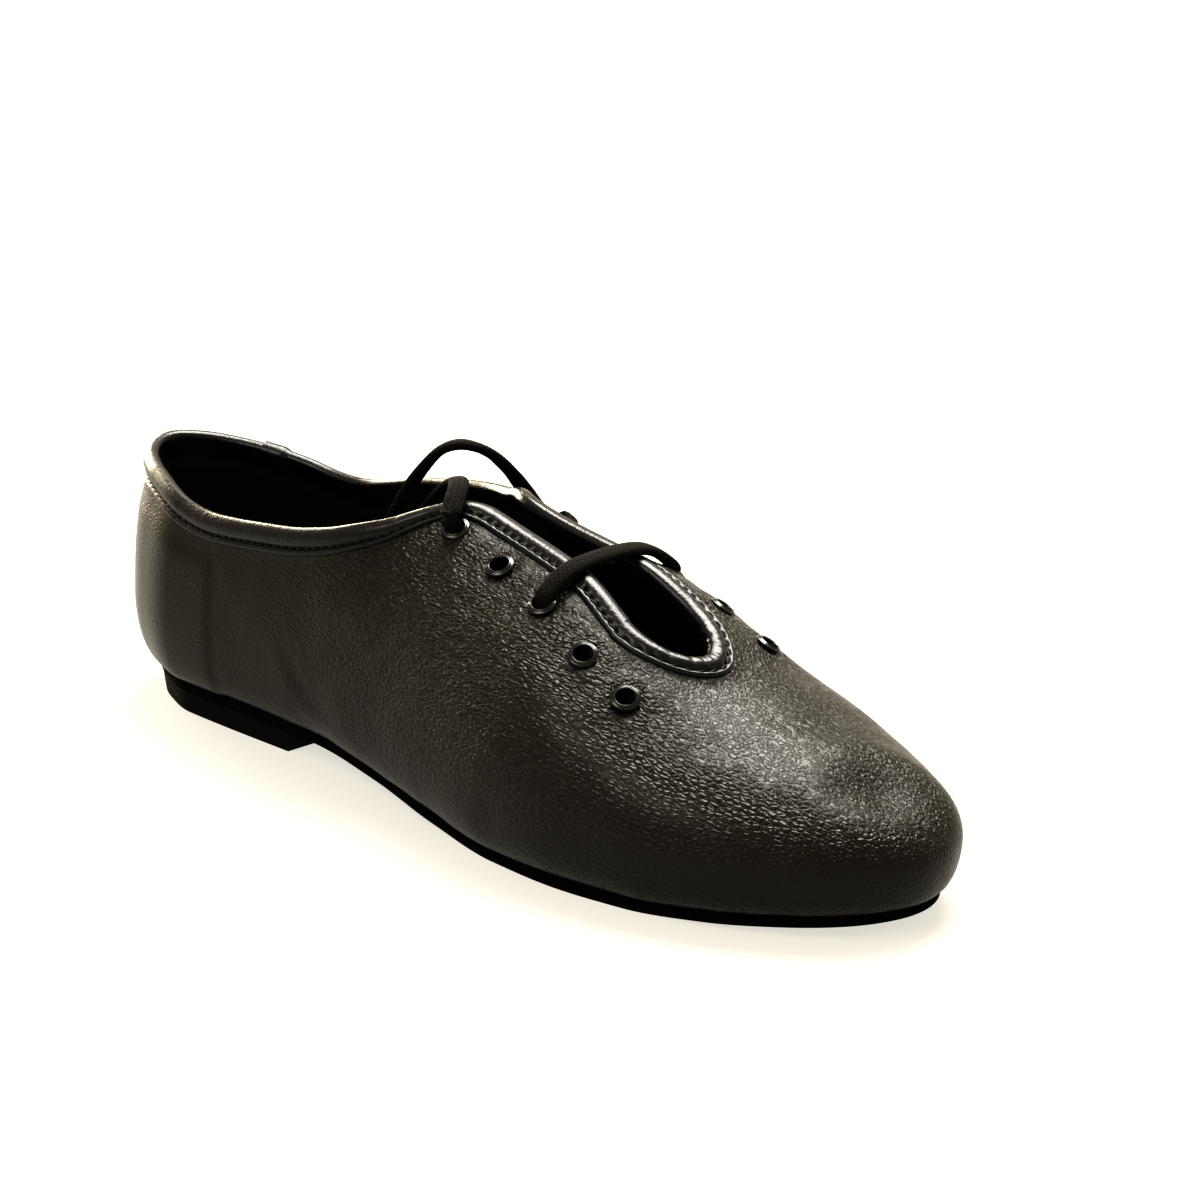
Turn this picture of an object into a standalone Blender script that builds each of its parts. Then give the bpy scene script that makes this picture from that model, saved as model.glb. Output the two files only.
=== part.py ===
"""A low-cut split-throat jazz shoe for the right foot, standing empty on its sole.

The toe points along +X, the lateral side faces -Y and up is +Z. The origin is on the floor under
the middle of the shoe. Every piece is worked out from one description of the last.
"""
import math

import bmesh
import bpy
import numpy as np
from mathutils import Matrix, Vector

# Overall sizes of the lasted upper, in metres
UPPER_LENGTH = 0.264
BALL_WIDTH = 0.0910
HEEL_WIDTH = 0.0600
INSTEP_RISE = 0.0700
BELT_RISE = 0.0180
BACK_HEIGHT = 0.0635
LATERAL_SIDE_HEIGHT = 0.0570
MEDIAL_SIDE_HEIGHT = 0.0553
BACK_TUCK = 0.0004
UPPER_WALL = 0.0014
HEEL_EDGE_INSET = 0.0066
EDGE_INSET = 0.0058
TOE_EDGE_INSET = 0.0042
MARGIN_WIDTH = 0.0080

# Throat
THROAT_TOP_SHARE = 0.460
THROAT_LENGTH = 0.0790
THROAT_WIDTH = 0.0248
THROAT_END_LENGTH = 0.0185

# Sole, heel and insole
SOLE_THICKNESS = 0.0030
HEEL_LIFT = 0.0062
HEEL_LENGTH = 0.0700
HEEL_TAPER = 0.0010
HEEL_STEP = 0.0003
BREAST_SLANT = 0.0020
TOE_SPRING = 0.0038
INSOLE_THICKNESS = 0.0012
INSOLE_CLEARANCE = 0.0020

# Topline binding and back strip
BINDING_THICKNESS = 0.0009
BINDING_OUTSIDE = 0.0052
BINDING_INSIDE = 0.0050
BINDING_JOINT_SHARE = 0.22
STRIP_WIDTH = 0.0120
STRIP_THICKNESS = 0.0008

# Eyelets
EYELET_BORE = 0.0046
EYELET_BARREL = 0.0053
EYELET_FLANGE = 0.0073
EYELET_HEIGHT = 0.0009
EYELET_TAIL = 0.0006

# Lace
LACE_WIDTH = 0.0052
LACE_THICKNESS = 0.0026
CORD_DIAMETER = 0.0038

# Clearance between neighbouring pieces
SEAT_GAP = 0.0003

# One row for each section of the last. Widths are shares of HEEL_WIDTH and BALL_WIDTH, the swing of
# the centre line is a share of BALL_WIDTH towards the medial side, and the crest, belt, lift and spring
# are shares of INSTEP_RISE, BELT_RISE, HEEL_LIFT and TOE_SPRING.
LAST_COLUMNS = ("share", "heel_part", "ball_part", "swing", "crest", "belt", "lift", "spring", "fullness")
LAST = (
    (0.00, 0.00, 0.00, 0.000, 0.68, 1.00, 1.00, 0.00, 2.13),
    (0.03, 0.60, 0.00, 0.000, 0.68, 1.00, 1.00, 0.00, 2.13),
    (0.07, 0.83, 0.00, 0.000, 0.69, 1.00, 1.00, 0.00, 2.13),
    (0.13, 1.00, 0.00, 0.000, 0.72, 1.00, 1.00, 0.00, 2.13),
    (0.22, 1.02, 0.00, 0.000, 0.90, 1.00, 1.00, 0.00, 2.13),
    (0.32, 1.01, 0.01, -0.002, 1.03, 1.00, 0.92, 0.00, 2.10),
    (0.42, 0.75, 0.25, -0.008, 0.77, 1.00, 0.64, 0.00, 2.04),
    (0.52, 0.37, 0.61, -0.014, 0.695, 0.99, 0.23, 0.00, 2.00),
    (0.62, 0.10, 0.90, -0.010, 0.655, 0.96, 0.00, 0.00, 1.98),
    (0.70, 0.00, 1.00, -0.004, 0.540, 0.90, 0.00, 0.00, 2.00),
    (0.78, 0.00, 0.975, 0.010, 0.41, 0.80, 0.00, 0.05, 2.05),
    (0.86, 0.00, 0.855, 0.026, 0.32, 0.68, 0.00, 0.28, 2.10),
    (0.92, 0.00, 0.675, 0.036, 0.25, 0.60, 0.00, 0.56, 2.15),
    (0.97, 0.00, 0.435, 0.043, 0.165, 0.53, 0.00, 0.83, 2.20),
    (1.00, 0.00, 0.00, 0.046, 0.00, 0.50, 0.00, 1.00, 2.20),
)

# Collar height over the side's lowest point. The back rows are shares of what the back stands over the
# side, and the front rows are shares of what the facing stands over it.
COLLAR_COLUMNS = ("share", "back_part", "lateral_part", "medial_part")
COLLAR = (
    (0.000, 1.00, 0.00, 0.00),
    (0.080, 0.58, 0.00, 0.00),
    (0.175, 0.00, 0.00, 0.00),
    (0.250, 0.00, 0.11, 0.27),
    (0.330, 0.00, 0.28, 0.49),
    (0.390, 0.00, 0.56, 0.65),
    (THROAT_TOP_SHARE, 0.00, 1.00, 1.00),
)

# Each side's gap from the centre line along the throat's straight part, as shares of half THROAT_WIDTH
THROAT_COLUMNS = ("along", "lateral", "medial")
THROAT = (
    (0.00, 0.66, 0.95),
    (0.09, 0.46, 0.78),
    (0.28, 0.60, 0.79),
    (0.60, 0.86, 0.84),
    (1.00, 1.08, 0.92),
)

# Eyelets from the top down, placed along the throat and below its edge on each side
EYELET_COLUMNS = ("along", "lateral_depth", "medial_depth")
EYELETS = (
    (0.055, 0.0094, 0.0155),
    (0.285, 0.0094, 0.0155),
    (0.515, 0.0108, 0.0150),
    (0.732, 0.0130, 0.0130),
    (1.040, 0.0170, 0.0165),
)

# Routes of the lace's free ends: beside the top eyelets, over the collar and down inside the shoe
LATERAL_END = (
    (-0.0054, -0.0176, 0.0729),
    (-0.0078, -0.0138, 0.0760),
    (-0.0112, -0.0092, 0.0778),
    (-0.0155, -0.0052, 0.0777),
    (-0.0203, -0.0031, 0.0755),
    (-0.0247, -0.0030, 0.0715),
    (-0.0281, -0.0048, 0.0656),
    (-0.0300, -0.0080, 0.0580),
    (-0.0307, -0.0110, 0.0490),
    (-0.0309, -0.0128, 0.0400),
)
MEDIAL_END = (
    (-0.0115, 0.0274, 0.0614),
    (-0.0162, 0.0286, 0.0607),
    (-0.0206, 0.0289, 0.0623),
    (-0.0241, 0.0279, 0.0660),
    (-0.0258, 0.0250, 0.0708),
    (-0.0255, 0.0203, 0.0752),
    (-0.0252, 0.0160, 0.0785),
    (-0.0266, 0.0120, 0.0808),
    (-0.0295, 0.0086, 0.0815),
    (-0.0330, 0.0058, 0.0797),
    (-0.0364, 0.0033, 0.0750),
    (-0.0394, 0.0008, 0.0690),
    (-0.0420, -0.0018, 0.0610),
    (-0.0440, -0.0044, 0.0515),
    (-0.0454, -0.0062, 0.0410),
)

# Fineness of the loft
COLUMN_STEPS = 37
RISE_STEPS = 5
CURL_STEPS = 4

LATERAL = -1
MEDIAL = 1


def smooth_curve(places, values, at):
    """Read a smooth curve through the given values that never overshoots them."""
    places = np.asarray(places, float)
    values = np.asarray(values, float)
    steps = np.diff(places)
    slopes = np.diff(values) / steps
    tangents = np.zeros(len(places))
    tangents[0] = slopes[0]
    tangents[-1] = slopes[-1]
    for i in range(1, len(places) - 1):
        before, after = slopes[i - 1], slopes[i]
        if before * after > 0:
            first = 2 * steps[i] + steps[i - 1]
            second = steps[i] + 2 * steps[i - 1]
            tangents[i] = (first + second) / (first / before + second / after)
    at = min(max(at, places[0]), places[-1])
    i = min(max(int(np.searchsorted(places, at, side="right")) - 1, 0), len(places) - 2)
    u = (at - places[i]) / steps[i]
    return float(
        (1 + 2 * u) * (1 - u) ** 2 * values[i]
        + u * (1 - u) ** 2 * steps[i] * tangents[i]
        + u * u * (3 - 2 * u) * values[i + 1]
        + u * u * (u - 1) * steps[i] * tangents[i + 1]
    )


def column_of(table, names, name):
    """One named column of a table."""
    place = names.index(name)
    return [row[place] for row in table]


def last_value(name, share):
    """A named value of the last at a share of its length."""
    return smooth_curve(column_of(LAST, LAST_COLUMNS, "share"), column_of(LAST, LAST_COLUMNS, name), share)


def rounded_value(lengths, share):
    """A length that closes to nothing in a round end, read through its square."""
    squares = [length * length for length in lengths]
    value = smooth_curve(column_of(LAST, LAST_COLUMNS, "share"), squares, share)
    return math.sqrt(max(value, 0.0))


HALF_WIDTHS = [
    (HEEL_WIDTH * heel + BALL_WIDTH * ball) / 2
    for heel, ball in zip(column_of(LAST, LAST_COLUMNS, "heel_part"), column_of(LAST, LAST_COLUMNS, "ball_part"))
]
CREST_RISES = [INSTEP_RISE * part for part in column_of(LAST, LAST_COLUMNS, "crest")]


def half_width(share):
    """Half the upper's width at the belt, its widest line."""
    return rounded_value(HALF_WIDTHS, share)


def crest_rise(share):
    """Height of the last's crest over the belt."""
    return rounded_value(CREST_RISES, share)


def side_balance():
    """Shift that puts the widest points of both sides at equal distances from the middle."""
    shares = [i / 200 for i in range(201)]
    edges = [
        BALL_WIDTH * last_value("swing", share) + side * half_width(share)
        for share in shares
        for side in (LATERAL, MEDIAL)
    ]
    return -(max(edges) + min(edges)) / 2


SIDE_SHIFT = side_balance()
STRIP_PROUD = SEAT_GAP + STRIP_THICKNESS
X_START = -UPPER_LENGTH / 2 + STRIP_PROUD / 2


def share_of(x):
    """Share of the upper's length at a place along the floor."""
    return (x - X_START) / UPPER_LENGTH


def place_of(share):
    """Place along the floor of a share of the upper's length."""
    return X_START + share * UPPER_LENGTH


def centre_line(share):
    """Sideways place of the last's centre line."""
    return SIDE_SHIFT + BALL_WIDTH * last_value("swing", share)


def sole_bottom(share):
    """Height of the sole's lower face: heel, arch, flat tread and toe spring."""
    return HEEL_LIFT * last_value("lift", share) + TOE_SPRING * last_value("spring", share)


def feather_height(share):
    """Height of the upper's lower face, just over the sole."""
    return sole_bottom(share) + SOLE_THICKNESS + SEAT_GAP


def belt_height(share):
    """Height of the upper's widest line."""
    return feather_height(share) + BELT_RISE * last_value("belt", share)


def edge_inset(share):
    """How far the feather edge lies inside the belt."""
    return smooth_curve((0.0, 0.30, 0.75, 1.0), (HEEL_EDGE_INSET, EDGE_INSET, EDGE_INSET, TOE_EDGE_INSET), share)


# The throat's straight part ends where its round end begins
THROAT_END_SHARE = THROAT_TOP_SHARE + THROAT_LENGTH / UPPER_LENGTH
THROAT_BEND_SHARE = THROAT_END_SHARE - THROAT_END_LENGTH / UPPER_LENGTH


def throat_gap(share, side):
    """Way from the centre line to one side of the throat, along its straight part."""
    along = (share - THROAT_TOP_SHARE) / (THROAT_BEND_SHARE - THROAT_TOP_SHARE)
    places = column_of(THROAT, THROAT_COLUMNS, "along")
    gaps = column_of(THROAT, THROAT_COLUMNS, "lateral" if side == LATERAL else "medial")
    return THROAT_WIDTH / 2 * smooth_curve(places, gaps, along)


def crown_height(x, y):
    """Height of the last's upper face over a point of the floor."""
    share = share_of(x)
    width = half_width(share)
    power = last_value("fullness", share)
    across = min(abs(y - centre_line(share)) / max(width, 1e-9), 1.0)
    return belt_height(share) + crest_rise(share) * (1 - across ** power) ** (1 / power)


def facing_height(side):
    """Height of the topline at the top of the throat."""
    sideways = side * throat_gap(THROAT_TOP_SHARE, side)
    return crown_height(place_of(THROAT_TOP_SHARE), centre_line(THROAT_TOP_SHARE) + sideways)


def collar_height(share, side):
    """Height of the collar's edge behind the throat."""
    places = column_of(COLLAR, COLLAR_COLUMNS, "share")
    low = LATERAL_SIDE_HEIGHT if side == LATERAL else MEDIAL_SIDE_HEIGHT
    front_parts = column_of(COLLAR, COLLAR_COLUMNS, "lateral_part" if side == LATERAL else "medial_part")
    back_parts = column_of(COLLAR, COLLAR_COLUMNS, "back_part")
    heights = [
        low + back * (BACK_HEIGHT - low) + front * (facing_height(side) - low)
        for back, front in zip(back_parts, front_parts)
    ]
    return smooth_curve(places, heights, share)


def side_of(turn):
    """Side of the shoe at a turn round its outline: lateral first, then medial."""
    return LATERAL if math.sin(turn) >= 0 else MEDIAL


def share_at(turn):
    """Share of the length at a turn, from the heel at nought to the toe at half a turn."""
    return (1 - math.cos(turn)) / 2


def turn_at(share, side):
    """Turn of a share of the length on one side."""
    turn = math.acos(1 - 2 * share)
    return turn if side == LATERAL else 2 * math.pi - turn


def outline_point(turn):
    """Plan point on the belt."""
    share = share_at(turn)
    return Vector((place_of(share), centre_line(share) + side_of(turn) * half_width(share)))


def outline_normal(turn):
    """Outward plan direction of the belt."""
    step = 0.004
    along = outline_point(turn + step) - outline_point(turn - step)
    return Vector((along.y, -along.x)).normalized()


def top_angle(turn):
    """Superellipse angle at which the topline cuts a section."""
    share = share_at(turn)
    power = last_value("fullness", share)
    if share <= THROAT_TOP_SHARE:
        rise = (collar_height(share, side_of(turn)) - belt_height(share)) / crest_rise(share)
        return math.asin(min(max(rise, 0.0), 1.0) ** (power / 2))
    cut = min(share, THROAT_BEND_SHARE)
    gap = throat_gap(cut, side_of(turn)) / half_width(cut)
    return math.acos(gap ** (power / 2))


def throat_end_point(share, side):
    """Plan point on the throat's round end that a toe column starts from."""
    part = (share - THROAT_BEND_SHARE) / (1 - THROAT_BEND_SHARE)
    cut = THROAT_BEND_SHARE + THROAT_END_LENGTH * part / UPPER_LENGTH
    sideways = throat_gap(THROAT_BEND_SHARE, side) * math.sqrt(max(1 - part * part, 0.0))
    return Vector((place_of(cut), centre_line(cut) + side * sideways))


def skin_point(turn, climb):
    """Point of the upper's outer face, from the belt at climb 0 to the topline at climb 1."""
    share = share_at(turn)
    side = side_of(turn)
    power = last_value("fullness", share)
    angle = top_angle(turn) * climb
    if share <= THROAT_BEND_SHARE:
        across = math.cos(angle) ** (2 / power)
        up = math.sin(angle) ** (2 / power)
        z = belt_height(share) + crest_rise(share) * up
        y = centre_line(share) + side * half_width(share) * across
        tuck = BACK_TUCK * up * up * max(1 - share / 0.13, 0.0) ** 2
        return Vector((place_of(share) + tuck, y, z))
    low = outline_point(turn)
    top = throat_end_point(share, side)
    reach = (1 - math.cos(angle) ** (2 / power)) / (1 - math.cos(top_angle(turn)) ** (2 / power))
    spot = low + (top - low) * reach
    return Vector((spot.x, spot.y, crown_height(spot.x, spot.y)))


def curl_point(turn, tuck):
    """Point of the upper's face below the belt, from the belt at 0 to the feather edge at 1."""
    share = share_at(turn)
    angle = tuck * math.pi / 2
    inset = edge_inset(share)
    spot = outline_point(turn) - outline_normal(turn) * inset * (1 - math.cos(angle))
    foot = outline_point(turn) - outline_normal(turn) * inset
    low = feather_height(share_of(foot.x))
    return Vector((spot.x, spot.y, belt_height(share) - (belt_height(share) - low) * math.sin(angle)))


def shell_point(turn, level):
    """Point of the outer face: -2 is the margin's inner edge, -1 the feather, 0 the belt, 1 the topline."""
    if level >= 0:
        return skin_point(turn, level)
    if level >= -1:
        return curl_point(turn, -level)
    inset = edge_inset(share_at(turn)) + MARGIN_WIDTH * (-1 - level)
    spot = outline_point(turn) - outline_normal(turn) * inset
    return Vector((spot.x, spot.y, feather_height(share_of(spot.x))))


def shell_normal(turn, level):
    """Outward normal of the upper's outer face."""
    if level <= -1:
        return Vector((0, 0, -1))
    turn_step = 0.006
    level_step = 0.01
    high = min(level + level_step, 1.0)
    low = max(level - level_step, -1.0) if level < 0 else max(level - level_step, 0.0)
    round_way = shell_point(turn + turn_step, level) - shell_point(turn - turn_step, level)
    up_way = shell_point(turn, high) - shell_point(turn, low)
    return round_way.cross(up_way).normalized()


def climb_at_depth(turn, depth):
    """Climb of the point that lies a given way down the face from the topline."""
    steps = 24
    travelled = 0.0
    point = skin_point(turn, 1.0)
    for i in range(steps, 0, -1):
        climb = (i - 1) / steps
        following = skin_point(turn, climb)
        length = (following - point).length
        if travelled + length >= depth:
            return climb + (travelled + length - depth) / length / steps
        travelled += length
        point = following
    return 0.0


def skin_frame(turn, depth):
    """Point, outward normal and upward direction on the outer face at a depth below the topline."""
    climb = climb_at_depth(turn, max(depth, 0.0))
    point = skin_point(turn, climb)
    normal = shell_normal(turn, climb)
    up = (skin_point(turn, min(climb + 0.01, 1.0)) - skin_point(turn, max(climb - 0.01, 0.0))).normalized()
    if depth < 0:
        point = point - up * depth
    return point, normal, up


def shell_turns():
    """Turns of the upper's columns, with extra ones at the throat's corners and where its end begins."""
    turns = [math.pi * i / COLUMN_STEPS for i in range(2 * COLUMN_STEPS)]
    corner = (-0.035, -0.016, -0.008, 0.0, 0.008, 0.018, 0.030)
    for side in (LATERAL, MEDIAL):
        extra = [turn_at(THROAT_TOP_SHARE + offset, side) for offset in corner]
        extra.append(turn_at(THROAT_BEND_SHARE, side))
        turns = [turn for turn in turns if min(abs(turn - other) for other in extra) > 0.02]
        turns.extend(extra)
    return sorted(turns)


TURNS = shell_turns()


def new_object(name, mesh, material):
    """Link a finished mesh to the shoe's collection."""
    body = bpy.data.objects.new(name, mesh)
    SHOE.objects.link(body)
    body.data.materials.append(material)
    return body


def mesh_from_rings(name, rings, closed_round, capped=False):
    """Loft a closed solid through rings of equal count. closed_round joins the last ring to the first."""
    builder = bmesh.new()
    rows = [[builder.verts.new(point) for point in ring] for ring in rings]
    count = len(rows[0])
    pairs = list(zip(rows, rows[1:]))
    if closed_round:
        pairs.append((rows[-1], rows[0]))
    for first, second in pairs:
        for i in range(count):
            j = (i + 1) % count
            builder.faces.new((first[i], first[j], second[j], second[i]))
    if capped:
        builder.faces.new(rows[0])
        builder.faces.new(reversed(rows[-1]))
    bmesh.ops.recalc_face_normals(builder, faces=builder.faces)
    mesh = bpy.data.meshes.new(name)
    builder.to_mesh(mesh)
    builder.free()
    mesh.shade_smooth()
    mesh.set_sharp_from_angle(angle=math.radians(40))
    return mesh


def leather(name, shade, roughness):
    """A plain coloured material."""
    material = bpy.data.materials.new(name)
    material.use_nodes = True
    shader = material.node_tree.nodes["Principled BSDF"]
    shader.inputs["Base Color"].default_value = (*shade, 1)
    shader.inputs["Roughness"].default_value = roughness
    material.diffuse_color = (*shade, 1)
    return material


def metal(name, shade, roughness):
    """A coated metal material."""
    material = leather(name, shade, roughness)
    material.node_tree.nodes["Principled BSDF"].inputs["Metallic"].default_value = 1.0
    return material


def shell_levels(turn):
    """Levels of the upper's rings, with the last ones where the binding lies on it."""
    tape = climb_at_depth(turn, BINDING_OUTSIDE)
    levels = [-2.0]
    levels += [-1 + i / CURL_STEPS for i in range(CURL_STEPS)]
    levels += [tape * i / RISE_STEPS for i in range(RISE_STEPS + 1)]
    levels += [climb_at_depth(turn, BINDING_OUTSIDE / 2), 1.0]
    return levels


def shell_ring(turn):
    """One section ring of the upper: up its outer face and down its inner face."""
    levels = shell_levels(turn)
    outer = [shell_point(turn, level) for level in levels]
    inner = [
        point - shell_normal(turn, level) * UPPER_WALL
        for point, level in zip(outer, levels)
    ]
    return outer + inner[::-1]


def make_upper(material):
    """The lasted shell, open at collar and throat and underneath inside its margin."""
    mesh = mesh_from_rings("upper", [shell_ring(turn) for turn in TURNS], closed_round=True)
    return new_object("upper", mesh, material)


def binding_ring(turn):
    """Section of the tape folded over the topline."""
    hidden = SEAT_GAP
    shown = SEAT_GAP + BINDING_THICKNESS
    middle = -UPPER_WALL / 2
    reach = UPPER_WALL / 2 + shown
    spots = [(shown, BINDING_OUTSIDE), (shown, BINDING_OUTSIDE / 2)]
    for i in range(5):
        angle = math.pi * i / 4
        spots.append((middle + reach * math.cos(angle), -0.8 * reach * math.sin(angle)))
    spots += [(-UPPER_WALL - shown, BINDING_INSIDE / 2), (-UPPER_WALL - shown, BINDING_INSIDE)]
    spots += [(-UPPER_WALL - hidden, BINDING_INSIDE), (-UPPER_WALL - hidden, BINDING_INSIDE / 2)]
    spots += [(-UPPER_WALL - hidden, -hidden), (hidden, -hidden)]
    spots += [(hidden, BINDING_OUTSIDE / 2), (hidden, BINDING_OUTSIDE)]
    ring = []
    for offset, depth in spots:
        point, normal, _ = skin_frame(turn, depth)
        ring.append(point + normal * offset)
    return ring


def make_binding(material):
    """One folded tape round throat and collar, its ends butted on the medial side."""
    joint = turn_at(BINDING_JOINT_SHARE, MEDIAL)
    joint_half = SEAT_GAP / (UPPER_LENGTH / 2 * abs(math.sin(joint)))
    turns = [turn - 2 * math.pi for turn in TURNS if turn > joint + joint_half + 0.01]
    turns += [turn for turn in TURNS if turn < joint - joint_half - 0.01]
    turns = [joint + joint_half - 2 * math.pi] + turns + [joint - joint_half]
    mesh = mesh_from_rings("topline_binding", [binding_ring(turn) for turn in turns], False, capped=True)
    return new_object("topline_binding", mesh, material)


def make_back_strip(material):
    """Narrow strip over the back seam, from under the binding to the heel seat."""
    reach = STRIP_WIDTH / 2
    turns = []
    for i in range(-3, 4):
        wanted = reach * abs(i) / 3
        share = 0.0
        while half_width(share) < wanted:
            share += 0.0002
        turn = turn_at(share, LATERAL)
        turns.append(math.copysign(turn, i))
    rings = []
    for turn in turns:
        top = climb_at_depth(turn, BINDING_OUTSIDE + SEAT_GAP)
        levels = [-0.80, -0.60, -0.40, -0.20, 0.0]
        levels += [top * i / 6 for i in range(1, 7)]
        outer = []
        inner = []
        for level in levels:
            point = shell_point(turn, level)
            normal = shell_normal(turn, level)
            outer.append(point + normal * STRIP_PROUD)
            inner.append(point + normal * SEAT_GAP)
        rings.append(outer + inner[::-1])
    mesh = mesh_from_rings("back_strip", rings, False, capped=True)
    return new_object("back_strip", mesh, material)


def slab_ring(turn, inset, bottom, top):
    """Section of a flat piece under the foot, from its lateral edge to its medial edge."""
    points = []
    for side_turn in (turn, 2 * math.pi - turn):
        spot = outline_point(side_turn) - outline_normal(side_turn) * (inset + edge_inset(share_at(side_turn)))
        share = share_of(spot.x)
        points.append((Vector((spot.x, spot.y, bottom(share))), Vector((spot.x, spot.y, top(share)))))
    (low_lateral, high_lateral), (low_medial, high_medial) = points
    return [low_lateral, low_medial, high_medial, high_lateral]


def slab_turns():
    """Turns of the sole's and insole's sections, short of the heel and toe tips."""
    first = 0.07
    return [first + (math.pi - 2 * first) * i / (COLUMN_STEPS - 2) for i in range(COLUMN_STEPS - 1)]


def sole_top(share):
    """Height of the sole's upper face."""
    return sole_bottom(share) + SOLE_THICKNESS


def make_sole(material):
    """Thin full-length sole with its arch and toe spring."""
    rings = [slab_ring(turn, 0.0, sole_bottom, sole_top) for turn in slab_turns()]
    mesh = mesh_from_rings("outsole", rings, False, capped=True)
    return new_object("outsole", mesh, material)


def insole_bottom(share):
    """Height of the insole's lower face, on the turned-in margin."""
    return feather_height(share) + UPPER_WALL + SEAT_GAP


def insole_top(share):
    """Height of the insole's upper face."""
    return insole_bottom(share) + INSOLE_THICKNESS


def make_insole(material):
    """Sock that covers the margin inside the shoe."""
    inset = INSOLE_CLEARANCE
    rings = [slab_ring(turn, inset, insole_bottom, insole_top) for turn in slab_turns()]
    mesh = mesh_from_rings("insole", rings, False, capped=True)
    return new_object("insole", mesh, material)


def make_heel(material):
    """Low block under the rear of the sole, its breast slightly slanted."""
    rings = []
    steps = 12
    last_turn = math.acos(1 - 2 * (HEEL_LENGTH + EDGE_INSET) / UPPER_LENGTH)
    first_turn = 0.07
    for i in range(steps + 1):
        turn = first_turn + (last_turn - first_turn) * i / steps
        ring = slab_ring(turn, HEEL_STEP, lambda share: 0.0, lambda share: sole_bottom(share) - SEAT_GAP)
        if i == steps:
            breast = (ring[2].x + ring[3].x) / 2
            for point in ring:
                point.x = breast
        middle = centre_line(share_at(turn))
        for point in ring[:2]:
            point.x += HEEL_TAPER if i == 0 else -BREAST_SLANT * i / steps
            point.y -= math.copysign(HEEL_TAPER, point.y - middle) if i else 0.0
        rings.append(ring)
    mesh = mesh_from_rings("heel", rings, False, capped=True)
    return new_object("heel", mesh, material)


def eyelet_turn_and_depth(row, side):
    """Turn and depth of an eyelet from its row of the table."""
    along, lateral_depth, medial_depth = row
    share = THROAT_TOP_SHARE + along * THROAT_LENGTH / UPPER_LENGTH
    return turn_at(share, side), lateral_depth if side == LATERAL else medial_depth


def eyelet_frame(row, side):
    """Matrix of an eyelet: its axis along the upper's normal, its origin on the outer face."""
    turn, depth = eyelet_turn_and_depth(row, side)
    point, normal, up = skin_frame(turn, depth)
    across = up.cross(normal).normalized()
    frame = Matrix((across, normal.cross(across), normal)).transposed().to_4x4()
    frame.translation = point
    return frame


def cut_eyelet_holes(upper):
    """Punch the holes that the eyelets' barrels pass through."""
    for side in (LATERAL, MEDIAL):
        for row in EYELETS:
            radius = EYELET_BARREL / 2 + SEAT_GAP
            bpy.ops.mesh.primitive_cylinder_add(vertices=16, radius=radius, depth=8 * UPPER_WALL)
            cutter = bpy.context.object
            cutter.name = "eyelet_cutter"
            cutter.matrix_world = eyelet_frame(row, side)
            cutter.hide_render = True
            cutter.display_type = "WIRE"
            for owner in list(cutter.users_collection):
                owner.objects.unlink(cutter)
            CUTTERS.objects.link(cutter)
            cut = upper.modifiers.new("eyelet_hole", "BOOLEAN")
            cut.operation = "DIFFERENCE"
            cut.solver = "EXACT"
            cut.object = cutter


def make_eyelet(name, frame, material):
    """Rolled metal ring: a flange outside, a barrel through the wall and a small turned tail."""
    bore = EYELET_BORE / 2
    barrel = EYELET_BARREL / 2
    flange = EYELET_FLANGE / 2
    base = SEAT_GAP
    profile = (
        (bore, -UPPER_WALL - EYELET_TAIL),
        (bore, base + 0.5 * EYELET_HEIGHT),
        ((bore + flange) / 2 - 0.0004, base + EYELET_HEIGHT),
        (flange - 0.0005, base + EYELET_HEIGHT * 0.8),
        (flange, base + 0.15 * EYELET_HEIGHT),
        (flange - 0.0002, base),
        (barrel, base),
        (barrel, -UPPER_WALL - EYELET_TAIL),
    )
    steps = 13
    rings = []
    for i in range(steps):
        angle = 2 * math.pi * i / steps
        rings.append([
            frame @ Vector((radius * math.cos(angle), radius * math.sin(angle), height))
            for radius, height in profile
        ])
    mesh = mesh_from_rings(name, rings, closed_round=True)
    return new_object(name, mesh, material)


def make_eyelets(material):
    """Five eyelets down each side of the throat."""
    for side, side_name in ((LATERAL, "lateral"), (MEDIAL, "medial")):
        for number, row in enumerate(EYELETS, start=1):
            make_eyelet(f"eyelet_{side_name}_{number}", eyelet_frame(row, side), material)


def smooth_path(points, steps):
    """Points along a smooth curve through the given points, with the steps between each pair."""
    points = [Vector(point) for point in points]
    padded = [2 * points[0] - points[1]] + points + [2 * points[-1] - points[-2]]
    path = []
    for before, start, end, after in zip(padded, padded[1:], padded[2:], padded[3:]):
        for i in range(steps):
            t = i / steps
            path.append(0.5 * (
                2 * start + (end - before) * t
                + (2 * before - 5 * start + 4 * end - after) * t * t
                + (3 * start - before - 3 * end + after) * t ** 3
            ))
    path.append(points[-1])
    return path


def flat_lace(name, path, faces, material):
    """Flat braid along a path, its broad face turned to the given directions."""
    rings = []
    for i, point in enumerate(path):
        along = (path[min(i + 1, len(path) - 1)] - path[max(i - 1, 0)]).normalized()
        face = (faces[i] - along * faces[i].dot(along)).normalized()
        across = along.cross(face)
        ring = []
        for k in range(8):
            angle = 2 * math.pi * (k + 0.5) / 8
            ring.append(
                point
                + across * (LACE_WIDTH / 2 * math.cos(angle) / math.cos(math.pi / 8))
                + face * (LACE_THICKNESS / 2 * math.sin(angle) / math.sin(3 * math.pi / 8))
            )
        rings.append(ring)
    mesh = mesh_from_rings(name, rings, False, capped=True)
    return new_object(name, mesh, material)


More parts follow.
